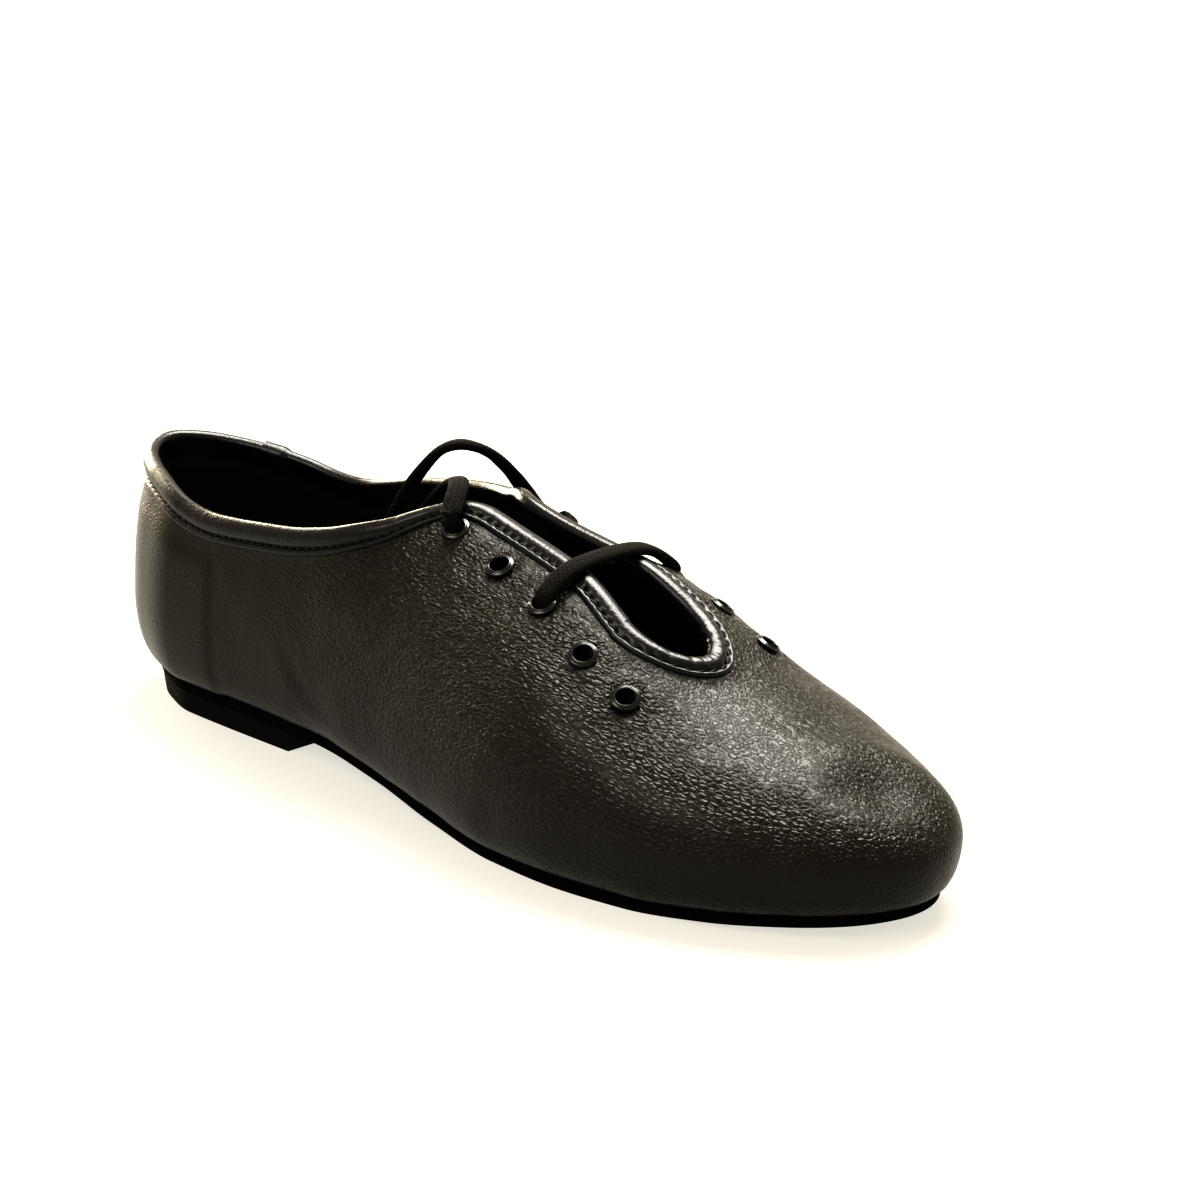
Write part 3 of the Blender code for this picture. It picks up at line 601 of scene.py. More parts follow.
def goat_leather():
    material, shader = new_material(
        "dyed_goat_leather", Coat_Weight=0.12, Coat_Roughness=0.28, Specular_IOR_Level=0.28)
    place = object_place(material)
    stray = noise_texture(material, place, 0.7 / PEBBLE, 2.0)["Color"]
    bent = add_node(
        material, "ShaderNodeVectorMath", {1: (PEBBLE_STRAY, PEBBLE_STRAY, PEBBLE_STRAY)},
        {0: stray, 2: place}, operation="MULTIPLY_ADD").outputs["Vector"]
    drawn = stretch(material, bent, (0.50, 0.95, 1.1), (0.0, 0.25, 0.2))
    pebbles = add_node(
        material, "ShaderNodeTexVoronoi", {"Scale": 1 / PEBBLE}, {"Vector": drawn},
        feature="DISTANCE_TO_EDGE").outputs["Distance"]
    pebble_height = add_node(
        material, "ShaderNodeMapRange", {"From Min": 0.0, "From Max": 0.34}, {"Value": pebbles},
        interpolation_type="SMOOTHSTEP").outputs[0]
    pebble_part = calculate(material, "MULTIPLY", pebble_height, painted(material, "grain"))
    stretched = stretch(material, place, (0.30, 1.0, 1.15), (0.0, 0.22, 0.12))
    ripple = noise_texture(material, stretched, 1 / WRINKLE, 3.0, Roughness=0.55, Distortion=0.9)["Fac"]
    ridges = calculate(material, "ABSOLUTE", calculate(material, "SUBTRACT", ripple, 0.5))
    ripple_part = calculate(material, "MULTIPLY", ridges, painted(material, "folds"))
    pores = noise_texture(material, place, 3.2 / PEBBLE, 2.0)["Fac"]
    soft = bump(material, ripple_part, WRINKLE_RISE)
    rough = bump(material, pebble_part, PEBBLE_RISE, Normal=soft)
    fine = bump(material, pores, PORE_RISE, 0.4, Normal=rough)
    cloud = noise_texture(material, place, 28.0, 3.0)["Fac"]
    colour = mix_colours(material, ("#17150f", "#1e1c14"), cloud)
    gloss = between(material, cloud, (0.27, 0.38))
    connect(material, shader, Base_Color=colour, Roughness=gloss, Normal=fine)
    return material


LEATHER = goat_leather()
print("made", LEATHER.name)


# %% [markdown]
# The other finishes: a glazed binding tape, smooth and a little bluer; the leather lining and sock, matt
# with a fine grain; suede under the foot; moulded rubber on the heel; waxed thread; enamel on the eyelets;
# and cotton braid.

# %% The other finishes
def grained(name, colours, roughness, cell, height, **values):
    """A plain finish with one size of grain and a little cloudiness."""
    material, shader = new_material(name, **values)
    place = object_place(material)
    cloud = noise_texture(material, place, 60.0, 3.0)["Fac"]
    colour = mix_colours(material, colours, cloud)
    gloss = between(material, cloud, roughness)
    cells = add_node(
        material, "ShaderNodeTexVoronoi", {"Scale": 1 / cell, "Smoothness": 0.4}, {"Vector": place},
        feature="SMOOTH_F1").outputs["Distance"]
    pores = noise_texture(material, place, 2 / cell, 3.0)["Fac"]
    relief = bump(material, calculate(material, "SUBTRACT", pores, cells), height)
    connect(material, shader, Base_Color=colour, Roughness=gloss, Normal=relief)
    return material


BINDING = grained(
    "glazed_kid_binding", ("#0f1011", "#161718"), (0.26, 0.38), 0.9 * MM, 0.07 * MM, Coat_Weight=0.25,
    Coat_Roughness=0.18, Specular_IOR_Level=0.3)
LINING = grained("pigskin_lining", ("#0d0d0c", "#151513"), (0.62, 0.8), 1.0 * MM, 0.08 * MM)
SOCK = grained("leather_sock", ("#3b3933", "#4a473f"), (0.45, 0.6), 1.3 * MM, 0.25 * MM)
SUEDE = grained(
    "suede_sole", ("#060606", "#0c0b0a"), (0.9, 1.0), 0.5 * MM, 0.22 * MM, Specular_IOR_Level=0.12)
RUBBER = grained(
    "moulded_rubber", ("#060606", "#0d0c0b"), (0.7, 0.85), 0.7 * MM, 0.12 * MM, Specular_IOR_Level=0.2)
THREAD = grained("waxed_thread", ("#0b0b0b", "#131313"), (0.45, 0.6), 0.3 * MM, 0.04 * MM)
ENAMEL = grained(
    "black_enamel", ("#060606", "#0a0a0a"), (0.22, 0.30), 1.5 * MM, 0.01 * MM, Coat_Weight=0.3,
    Coat_Roughness=0.1)


def cotton_braid():
    """Soft twisted yarn. The strands are in the mesh; this adds their fibres and a painted shade in the
    hollows between them.
    """
    material, shader = new_material("cotton_braid", Roughness=0.85, Specular_IOR_Level=0.2)
    fibre = noise_texture(material, object_place(material), 1 / (0.3 * MM), 2.0)["Fac"]
    # Painted shade: near black where the strands sink, grey on their crests, read from the stored strand
    # height.
    colour = mix_colours(material, ("#020202", "#262421"), painted(material, "strand"))
    connect(material, shader, Base_Color=colour, Normal=bump(material, fibre, 0.08 * MM, 0.7))
    return material


COTTON = cotton_braid()
print("made", len(bpy.data.materials), "materials")

# %% [markdown]
# Creases are placed one by one, in the shoe's own sizes: a place along the foot, a depth below the edge, how
# long and how wide. Each is a soft trough with a low ridge beside it. Between them the leather gets the
# slight unevenness that an empty shoe has. It also sinks a little round each eyelet, steps down where the
# stiff heel counter ends, and has one dent over the toes.

# %% Creases of the upper
CREASES = (
    # side, x from, x to, depth from, depth to, width, dip, all in millimetres
    (LATERAL, -1, 24, 17.5, 16.5, 2.4, 0.45),
    (LATERAL, 6, 34, 23.5, 20.0, 3.0, 0.28),
    (LATERAL, -22, 14, 20.0, 28.0, 3.4, 0.26),
    (LATERAL, 36, 58, 19.5, 22.5, 2.8, 0.35),
    (LATERAL, -34, -6, 30.0, 40.0, 4.0, 0.30),
    (LATERAL, -52, -30, 33.0, 50.0, 3.6, 0.24),
    (LATERAL, 10, 52, 36.0, 42.0, 5.0, 0.30),
    (LATERAL, 60, 92, 24.0, 33.0, 5.0, 0.30),
    (LATERAL, 84, 112, 22.0, 34.0, 2.2, 0.16),
    (LATERAL, -12, -10, 6.5, 18.0, 2.6, 0.22),
    (LATERAL, -18, -17, 7.0, 20.0, 2.4, 0.18),
    (MEDIAL, -6, 26, 20.0, 18.0, 3.0, 0.35),
    (MEDIAL, -30, 10, 30.0, 34.0, 4.0, 0.30),
    (MEDIAL, 22, 60, 26.0, 34.0, 4.0, 0.30),
    (MEDIAL, -60, -30, 28.0, 46.0, 4.0, 0.25),
    (MEDIAL, 66, 98, 24.0, 34.0, 5.0, 0.28),
)
COUNTER_X = -81 * MM
COUNTER_STEP = 0.45 * MM
TOE_DENT = np.array((0.1165, 0.004, 0.0250))
DENT_REACH, DENT_DIP = 11 * MM, 2.6 * MM
EYELET_DISH, DISH_REACH = 0.38 * MM, 4.2 * MM
EYELET_RIDGE, RIDGE_RADIUS, RIDGE_WIDTH = 0.22 * MM, 6.0 * MM, 1.5 * MM
SOFTNESS = ((26.0, 0.55 * MM), (55.0, 0.32 * MM), (120.0, 0.16 * MM))
CREASE_SWAY = 0.9


def step_between(low, high, value):
    part = np.clip((value - low) / (high - low), 0, 1)
    return part * part * (3 - 2 * part)


def crease_relief(points, depth, side):
    """Height of the listed creases at each point."""
    relief = np.zeros(len(points))
    for crease_side, x_from, x_to, depth_from, depth_to, width, dip in CREASES:
        part = (points[:, 0] / MM - x_from) / (x_to - x_from)
        line = depth_from + (depth_to - depth_from) * part + CREASE_SWAY * np.sin(7 * part + x_from)
        across = (depth / MM - line) / width
        if abs(x_to - x_from) < 5:
            part = (depth / MM - depth_from) / (depth_to - depth_from)
            across = (points[:, 0] / MM - (x_from + (x_to - x_from) * part)) / width
        fade = step_between(-0.15, 0.25, part) * (1 - step_between(0.75, 1.15, part))
        shape = -np.exp(-across ** 2) + 0.55 * np.exp(-((across - 1.5) ** 2))
        relief += np.where(side == crease_side, shape * fade * dip * MM, 0)
    return relief


EYELET_NAMES = [f"eyelet_{side}_{number}" for side in ("lateral", "medial") for number in range(1, 6)]
EYELET_SPOTS = []
EYELET_PLACES = {}
for eyelet_name in EYELET_NAMES:
    low_corner, high_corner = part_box(eyelet_name)
    middle = np.array([(low_corner[k] + high_corner[k]) / 2 for k in range(3)])
    nearest = np.unravel_index(np.argmin(np.linalg.norm(SKIN - middle, axis=2)), SKIN_DEPTH.shape)
    axis = SKIN_NORMAL[nearest]
    spot = middle - axis * np.dot(middle - SKIN[nearest], axis)
    EYELET_SPOTS.append((Vector(spot), Vector(axis)))
    EYELET_PLACES[eyelet_name] = (nearest[0] / COLUMNS, SKIN_DEPTH[nearest])
print("eyelets", len(EYELET_SPOTS), "first at", [round(c * 1000, 1) for c in EYELET_SPOTS[0][0]])


def skin_relief(points, depth, side):
    """All that lifts or sinks the leather: creases, eyelets, counter, toe and a general softness."""
    relief = crease_relief(points, depth, side)
    for centre, _ in EYELET_SPOTS:
        away = np.linalg.norm(points - np.array(centre), axis=1)
        relief -= EYELET_DISH * np.exp(-((away / DISH_REACH) ** 4))
        relief += EYELET_RIDGE * np.exp(-(((away - RIDGE_RADIUS) / RIDGE_WIDTH) ** 2))
    on_counter = 1 - step_between(COUNTER_X - 2 * MM, COUNTER_X + 2 * MM, points[:, 0])
    relief += COUNTER_STEP * on_counter * step_between(8 * MM, 14 * MM, depth)
    away = np.linalg.norm(points - TOE_DENT, axis=1) / DENT_REACH
    relief -= DENT_DIP * np.exp(-(away ** 2))
    relief += 0.25 * DENT_DIP * np.exp(-(((away - 1.7) / 0.6) ** 2))
    loose = step_between(-0.085, -0.05, points[:, 0])
    for scale, height in SOFTNESS:
        bumps = np.array([noise.noise(Vector(point) * scale) for point in points])
        relief += bumps * height * (0.25 + 0.75 * loose)
    return relief * step_between(5.5 * MM, 8 * MM, depth)


# %% [markdown]
# The upper: a blank with its columns round the shoe and its rows from edge to margin is laid on the skin,
# its creases are pushed in along the normals, and Solidify gives it its thickness towards the foot. The
# holes are punched with one Boolean once the wall is there, as the maker punches through leather and lining.

# %% The leather upper
UPPER_COLUMNS, UPPER_ROWS = 560, 62
LEATHER_WALL = 0.8 * MM


def paint(piece, name, values):
    """Store one painted value for each vertex."""
    layer = piece.data.attributes.new(name, "FLOAT", "POINT")
    layer.data.foreach_set("value", np.asarray(values, np.float32))


def lay_on_skin(piece, top_depth, offset):
    """Lay a blank round the whole shoe; gives its points, normals, depths and sides."""
    column, row, columns, rows = grid_steps(piece)
    points = np.zeros((columns + 1, rows + 1, 3))
    normals = np.zeros_like(points)
    depths = np.zeros((columns + 1, rows + 1))
    for i in range(columns + 1):
        way = (i % columns) / columns
        full = SKIN_DEPTH[int(way * COLUMNS) % COLUMNS, -1]
        depths[i] = np.linspace(top_depth, full, rows + 1)
        points[i], normals[i] = skin_at(way, depths[i])
    picked = (points + normals * offset)[column, rows - row]
    sides = np.where((column / columns) < way_of(1.0, LATERAL), LATERAL, MEDIAL)
    return picked, normals[column, rows - row], depths[column, rows - row], sides


leather_upper = flat_blank("leather_upper", UPPER_COLUMNS, UPPER_ROWS)
spots, outward, depths, sides = lay_on_skin(leather_upper, 0.0, 0.0)
lay(leather_upper, spots + outward * skin_relief(spots, depths, sides)[:, None])
heights = spots[:, 2]
vamp = step_between(-0.060, -0.010, spots[:, 0])
upwards = step_between(0.012, 0.030, heights)
paint(leather_upper, "grain", 0.18 + 0.82 * vamp * (0.35 + 0.65 * upwards))
near_throat = np.exp(-((spots[:, 0] - 0.012) / 0.048) ** 2) * upwards
toe_folds = np.exp(-((np.linalg.norm(spots - TOE_DENT, axis=1) / 0.026) ** 2))
paint(leather_upper, "folds", 0.06 + 0.94 * np.clip(near_throat + 0.5 * toe_folds, 0, 1))
merge_seam(leather_upper, outward=False)
faces_out(leather_upper)
thicken(leather_upper, LEATHER_WALL)
print("upper wall", LEATHER_WALL / MM, "mm")

# %% Punch the eyelet holes
HOLE_RADIUS = 2.85 * MM
punch_parts = []
for centre, axis in EYELET_SPOTS:
    bpy.ops.object.select_all(action="DESELECT")
    bpy.ops.mesh.primitive_cylinder_add(vertices=32, radius=HOLE_RADIUS, depth=6 * MM)
    punch = bpy.context.object
    punch.matrix_world = Matrix.Translation(centre) @ axis.to_track_quat("Z", "Y").to_matrix().to_4x4()
    punch_parts.append(punch)
bpy.ops.object.select_all(action="DESELECT")
for punch in punch_parts:
    punch.select_set(True)
bpy.context.view_layer.objects.active = punch_parts[0]
bpy.ops.object.join()
punches = bpy.context.object
modify(leather_upper, "BOOLEAN", operation="DIFFERENCE", solver="EXACT", object=punches)
smooth(leather_upper, 60)
finish_piece(leather_upper, LEATHER, "black_leather", "upper")

# %% [markdown]
# The lining is a second, thinner shell inside the first. A faint seam runs round it about 9 mm below the
# edge, where its facing is joined, and shows as a low ridge when light falls into the shoe.

# %% Lining
LINING_WALL = 0.5 * MM
LINING_SEAM = 9.0 * MM
lining = flat_blank("lining", 300, 44)
spots, outward, depths, sides = lay_on_skin(lining, 1.2 * MM, -LEATHER_WALL - 0.05 * MM)
ridge = np.exp(-(((depths - LINING_SEAM) / (0.9 * MM)) ** 2)) * 0.45 * MM
wave = np.array([noise.noise(Vector(point) * 40) for point in spots]) * 0.30 * MM
wave = np.minimum(wave, 0) * step_between(8 * MM, 20 * MM, depths)
lay(lining, spots + outward * (skin_relief(spots, depths, sides) + wave - ridge)[:, None])
merge_seam(lining, outward=False)
faces_out(lining)
thicken(lining, LINING_WALL)
modify(lining, "BOOLEAN", operation="DIFFERENCE", solver="EXACT", object=punches)
smooth(lining, 60)
finish_piece(lining, LINING, "insole_leather")
bpy.data.objects.remove(punches, do_unlink=True)

# %% [markdown]
# The binding is a leather tape folded over the edge. Seen from outside it has a thin dark line where its
# lower edge is tucked, a low lit strip, the sewn groove, and a soft round roll over the top. The needle
# pulls the groove into a small zigzag, and the roll puckers where it turns round the throat's end. Its two
# ends overlap on the medial side of the collar.

# %% Binding section
TAPE_WALL = 0.35 * MM
GROOVE_DEPTH = 4.05 * MM
STITCH_PITCH = 2.9 * MM
ROLL_RISE = 1.15 * MM
TAPE_OUTSIDE = (
    # depth below the edge and height over the leather, in millimetres
    (5.9, 0.10), (5.75, 0.52), (5.45, 0.80), (5.05, 0.88), (4.70, 0.76), (4.35, 0.42), (4.05, 0.16),
    (3.75, 0.45), (3.35, 0.88), (2.7, 1.24), (1.9, 1.42), (1.1, 1.40), (0.4, 1.25),
)
TAPE_INSIDE = ((0.8, 1.05), (1.8, 1.0), (2.8, 0.9), (3.8, 0.8), (4.6, 0.7), (5.0, 0.15))
CALM_WAVE, THROAT_WAVE = 0.08 * MM, 0.24 * MM
ROLL_STEPS = 7
JOINT_WAY = way_of(0.087, MEDIAL)
JOINT_LENGTH = top_length_of(JOINT_WAY)
OVERLAP, OVERLAP_LIFT = 5.0 * MM, 0.75 * MM
THROAT_END_AT = top_length_of(way_of(1.0, LATERAL))


def edge_frame(way):
    """Edge point, outward normal and upward direction at the topline."""
    points, normals = skin_at(way, np.array([0.0, 0.8 * MM]))
    up = points[0] - points[1]
    up /= np.linalg.norm(up)
    normal = normals[1] - up * np.dot(normals[1], up)
    return points[0], normal / np.linalg.norm(normal), up


def tape_section(way, lift, stitch, pucker):
    """One section of the tape from its outer low edge over the roll to its inner low edge."""
    outer = np.array(TAPE_OUTSIDE) * MM
    depth = outer[:, 0] + stitch * np.exp(-(((outer[:, 0] - GROOVE_DEPTH) / (0.7 * MM)) ** 2))
    points, normals = skin_at(way, depth)
    section = list(points + normals * (outer[:, 1] + lift + pucker[0] * (outer[:, 1] > 0.9 * MM))[:, None])
    edge, normal, up = edge_frame(way)
    middle = edge - normal * WALL / 2
    radius = WALL / 2 + ROLL_RISE + lift + pucker[1]
    for i in range(1, ROLL_STEPS):
        angle = math.pi * i / ROLL_STEPS
        section.append(middle + normal * radius * math.cos(angle) + up * 0.8 * radius * math.sin(angle))
    inner = np.array(TAPE_INSIDE) * MM
    points, normals = skin_at(way, inner[:, 0])
    section += list(points - normals * (inner[:, 1] + WALL + lift)[:, None])
    return section


# %% Lay the binding
TAPE_COLUMNS = 1500
section_count = len(TAPE_OUTSIDE) + ROLL_STEPS - 1 + len(TAPE_INSIDE)
binding = flat_blank("binding", TAPE_COLUMNS, section_count - 1)
column, row, columns, rows = grid_steps(binding)
sections = np.zeros((columns + 1, rows + 1, 3))
for i in range(columns + 1):
    length = JOINT_LENGTH + (TOP_LENGTH + OVERLAP) * i / columns
    into_overlap = (TOP_LENGTH + OVERLAP) * (1 - i / columns)
    lift = OVERLAP_LIFT * (1 - step_between(OVERLAP, OVERLAP + 2.5 * MM, into_overlap))
    from_end = abs((length % TOP_LENGTH) - THROAT_END_AT)
    wave = CALM_WAVE + THROAT_WAVE * float(1 - step_between(75 * MM, 95 * MM, from_end))
    stitch = wave * math.sin(2 * math.pi * length / STITCH_PITCH)
    puckering = 0.08 + 0.92 * float(1 - step_between(6 * MM, 20 * MM, from_end))
    wrinkle = noise.noise(Vector((length * 420, 3.1, 0)))
    wrinkle += 0.6 * noise.noise(Vector((length * 900, 7.7, 0)))
    second = noise.noise(Vector((length * 520, 11.3, 0)))
    pucker = (0.28 * MM * puckering * wrinkle, 0.34 * MM * puckering * second)
    sections[i] = tape_section(way_of_top(length), lift, stitch, pucker)
lay(binding, sections[column, rows - row])
faces_out(binding)
thicken(binding, TAPE_WALL)
smooth(binding, 50)
finish_piece(binding, BINDING, "binding_leather", "topline_binding")

# %% [markdown]
# The sewing: one stitch is a small pointed bead of thread, made once from a sphere, and set along the
# groove at the needle's pitch. Each lies a little aslant, which makes the row look like a zigzag.

# %% Stitches
THREAD_WIDTH, THREAD_LIFT, STITCH_SLANT = 0.55 * MM, 0.30 * MM, 0.16


def stitch_bead():
    bpy.ops.object.select_all(action="DESELECT")
    bpy.ops.mesh.primitive_uv_sphere_add(segments=8, ring_count=6, radius=1)
    bead = bpy.context.object
    size = (STITCH_PITCH * 0.46, THREAD_WIDTH / 2, THREAD_WIDTH / 2.4)
    edit(bead, (bpy.ops.transform.resize, {"value": size}))
    return bead


def row_of_beads(name, bead, frames):
    """Copies of one small mesh at many places, in one mesh."""
    builder = bmesh.new()
    for matrix in frames:
        start = len(builder.verts)
        builder.from_mesh(bead.data)
        builder.verts.ensure_lookup_table()
        for vertex in builder.verts[start:]:
            vertex.co = matrix @ vertex.co
    mesh = bpy.data.meshes.new(name)
    builder.to_mesh(mesh)
    builder.free()
    piece = bpy.data.objects.new(name, mesh)
    bpy.context.scene.collection.objects.link(piece)
    return piece


def stitch_frames(depth, lift, slant):
    frames = []
    for k in range(int(TOP_LENGTH / STITCH_PITCH)):
        length = (k + 0.5) * STITCH_PITCH
        here, normals = skin_at(way_of_top(length), np.array([depth]))
        ahead, _ = skin_at(way_of_top(length + 0.5 * MM), np.array([depth]))
        normal = Vector(normals[0])
        along = Vector(ahead[0] - here[0])
        along = (along - normal * along.dot(normal)).normalized()
        across = normal.cross(along)
        along = (along * math.cos(slant) + across * math.sin(slant)).normalized()
        matrix = Matrix((along, normal.cross(along), normal)).transposed().to_4x4()
        matrix.translation = Vector(here[0]) + normal * lift
        frames.append(matrix)
    return frames


bead = stitch_bead()
stitches = row_of_beads("binding_stitches", bead, stitch_frames(GROOVE_DEPTH, THREAD_LIFT, STITCH_SLANT))
bpy.data.objects.remove(bead, do_unlink=True)
smooth(stitches, 80)
finish_piece(stitches, THREAD, "binding_leather")

# %% [markdown]
# A narrow strip covers the seam up the back of the heel. It is a small blank laid on the skin, a little
# proud of it, and its edges are rounded off.

# %% Back strip
STRIP_HALF, STRIP_WALL, STRIP_RISE, STRIP_EDGE = 6.0 * MM, 0.4 * MM, 1.05 * MM, 0.1 * MM
STRIP_TOP = 5.3 * MM
STRIP_TUCK = 0.8
strip = flat_blank("back_seam_strip", 24, 60)
column, row, columns, rows = grid_steps(strip)
strip_points = np.zeros((columns + 1, rows + 1, 3))
for i in range(columns + 1):
    across = 2 * i / columns - 1
    way = (across * STRIP_HALF / BELT_WAY[-1]) % 1.0
    full = SKIN_DEPTH[int(way * COLUMNS) % COLUMNS]
    low = full[BELT_LEVEL] + (full[FEATHER_LEVEL] - full[BELT_LEVEL]) * STRIP_TUCK
    points, normals = skin_at(way, np.linspace(STRIP_TOP, low, rows + 1))
    rise = STRIP_RISE * (1 - abs(across) ** 6) + STRIP_EDGE
    strip_points[i] = points + normals * rise
lay(strip, strip_points[column, rows - row])
faces_out(strip)
thicken(strip, STRIP_WALL)
paint(strip, "grain", np.full(len(strip.data.vertices), 0.4))
paint(strip, "folds", np.full(len(strip.data.vertices), 0.05))
smooth(strip, 50)
finish_piece(strip, LEATHER, "black_leather", "back_strip")

# %% [markdown]
# Sole, heel and sock are slabs with the outline of the foot. A blank is laid between the lateral and the
# medial edge, extruded up, and its upper face is trimmed to the arch. The sole's edge is cut square, then
# worn a little round, so it gets a fine bevel.


# %% Slabs under the foot
def slab(name, turns, inset, bottom, top, across=24, columns=220, shape=None):
    """A slab from heel to toe with its own lower and upper height."""
    piece = flat_blank(name, columns, across)
    column, row, columns, rows = grid_steps(piece)
    turn = turns[0] + (turns[1] - turns[0]) * column / columns
    edges = []
    for one in (turn, 2 * np.pi - turn):
        way_in = (edge_inset((1 - np.cos(one)) / 2) + inset)[:, None]
        edges.append(outline(one) - outline_normal(one) * way_in)
    part = (row / rows)[:, None]
    spot = edges[0] * (1 - part) + edges[1] * part
    if shape is not None:
        spot = shape(spot, column / columns, row / rows)
    lay(piece, np.column_stack([spot, bottom(share_of(spot[:, 0]))]))
    select_only(piece)
    bpy.ops.object.mode_set(mode="EDIT")
    bpy.ops.mesh.select_all(action="SELECT")
    bpy.ops.mesh.extrude_region_move(TRANSFORM_OT_translate={"value": (0, 0, 0.001)})
    builder = bmesh.from_edit_mesh(piece.data)
    for vertex in builder.verts:
        if vertex.select:
            vertex.co.z = float(top(share_of(vertex.co.x)))
    bmesh.update_edit_mesh(piece.data)
    bpy.ops.mesh.select_all(action="SELECT")
    bpy.ops.mesh.remove_doubles(threshold=0.00002)
    bpy.ops.mesh.normals_make_consistent(inside=False)
    bpy.ops.object.mode_set(mode="OBJECT")
    return piece


def sole_top(share):
    return sole_bottom(share) + SOLE_THICKNESS


outsole = slab("suede_outsole", (0.02, math.pi - 0.02), 0.0, sole_bottom, sole_top)
round_edges(outsole, 0.45 * MM)
finish_piece(outsole, SUEDE, "suede_sole", "outsole")

# %% Heel block
HEEL_LENGTH = 0.0700
HEEL_STEP = 0.0003
HEEL_TAPER = 0.0010
HEEL_HALF_WIDTH = 0.024
BREAST_SLANT = 0.0020
heel_turn = math.acos(1 - 2 * (HEEL_LENGTH + HEEL_INSET) / UPPER_LENGTH)
at_breast = np.array([heel_turn])
breast_x = float((outline(at_breast) - outline_normal(at_breast) * HEEL_INSET)[0, 0])


def square_breast(spot, along, across):
    """Cut the block's front straight across, a little ahead of its last section at the sole."""
    cut = step_between(0.9, 1.0, along)[:, None]
    straight = np.column_stack([np.full(len(spot), breast_x), spot[:, 1]])
    return spot * (1 - cut) + straight * cut


heel = slab(
    "rubber_heel_block", (0.02, heel_turn), HEEL_STEP, lambda share: share * 0.0,
    lambda share: sole_bottom(share) - SEAT_GAP, shape=square_breast, columns=90)
heel_points = np.array([vertex.co for vertex in heel.data.vertices])
is_low = heel_points[:, 2] < 1e-4
middle_y = centre_line(share_of(heel_points[:, 0]))
sideways = np.clip((heel_points[:, 1] - middle_y) / HEEL_HALF_WIDTH, -1, 1)
heel_points[is_low, 1] -= (sideways * HEEL_TAPER)[is_low]
along_heel = (heel_points[:, 0] - heel_points[:, 0].min()) / (breast_x - heel_points[:, 0].min())
heel_points[is_low, 0] += (HEEL_TAPER * (1 - along_heel) - BREAST_SLANT * along_heel)[is_low]
lay(heel, heel_points)
round_edges(heel, 0.5 * MM)
finish_piece(heel, RUBBER, "rubber_heel", "heel")


# %% Sock inside the shoe
def insole_bottom(share):
    return feather_height(share) + WALL + SEAT_GAP


sock = slab(
    "leather_sock", (0.03, math.pi - 0.03), 2.0 * MM, insole_bottom,
    lambda share: insole_bottom(share) + 1.2 * MM, across=40)
round_edges(sock, 0.3 * MM, segments=1)
finish_piece(sock, SOCK, "insole_leather", "insole")

# %% [markdown]
# An eyelet is a tube of thin metal whose mouth is rolled over into a ring. It is turned here from a circle:
# each row of the profile extrudes the circle and scales it, up the bore, over the roll and back down the
# barrel. One is made, and each of the ten gets its own copy of the mesh.

# %% Eyelets
EYELET_PROFILE = (
    # radius and height in millimetres, from the tail up the bore and back outside
    (2.30, -2.00), (2.30, 0.55), (2.36, 0.82), (2.48, 0.98), (2.62, 1.02), (2.78, 0.92), (3.00, 0.74),
    (3.28, 0.60), (3.55, 0.50), (3.65, 0.38), (3.62, 0.24), (2.65, 0.20), (2.65, -2.00),
)


def eyelet_blank():
    bpy.ops.object.select_all(action="DESELECT")
    radius, height = EYELET_PROFILE[0]
    bpy.ops.mesh.primitive_circle_add(vertices=48, radius=radius * MM, location=(0, 0, height * MM))
    ring = bpy.context.object
    bpy.ops.object.transform_apply(location=True, rotation=True, scale=True)
    bpy.ops.object.mode_set(mode="EDIT")
    bpy.ops.mesh.select_all(action="SELECT")
    for next_radius, next_height in EYELET_PROFILE[1:] + EYELET_PROFILE[:1]:
        step = (0, 0, (next_height - height) * MM)
        bpy.ops.mesh.extrude_region_move(TRANSFORM_OT_translate={"value": step})
        grow = next_radius / radius
        bpy.ops.transform.resize(value=(grow, grow, 1))
        radius, height = next_radius, next_height
    bpy.ops.mesh.select_all(action="SELECT")
    bpy.ops.mesh.remove_doubles(threshold=0.00001)
    bpy.ops.mesh.normals_make_consistent(inside=False)
    bpy.ops.object.mode_set(mode="OBJECT")
    smooth(ring, 60)
    return ring


first_eyelet = eyelet_blank()
for name, (centre, axis) in zip(EYELET_NAMES, EYELET_SPOTS):
    mesh = first_eyelet.data.copy()
    mesh.transform(Matrix.Translation(centre) @ axis.to_track_quat("Z", "Y").to_matrix().to_4x4())
    eyelet = bpy.data.objects.new(f"enamel_{name}", mesh)
    bpy.context.scene.collection.objects.link(eyelet)
    finish_piece(eyelet, ENAMEL, "black_metal", name)
bpy.data.objects.remove(first_eyelet, do_unlink=True)

# %% [markdown]
# The lace is a flat tube of braided cotton, 5.2 mm wide. Its strands cross over and under each other in
# diamonds, which a short formula raises on the mesh: strands of one slope show in every second diamond,
# those of the other slope in the rest. A braid that bends keeps its flat side to the leather it lies on.

# %% Braided tube
LACE_WIDTH, LACE_THICKNESS = 5.2 * MM, 2.6 * MM
BRAID_CELL = 0.75 * MM
BRAID_ROUND = 24
BRAID_RISE = 0.24 * MM
LACE_SIDES = 72
LACE_STEP = 0.25 * MM
END_ROUNDING = 1.2 * MM


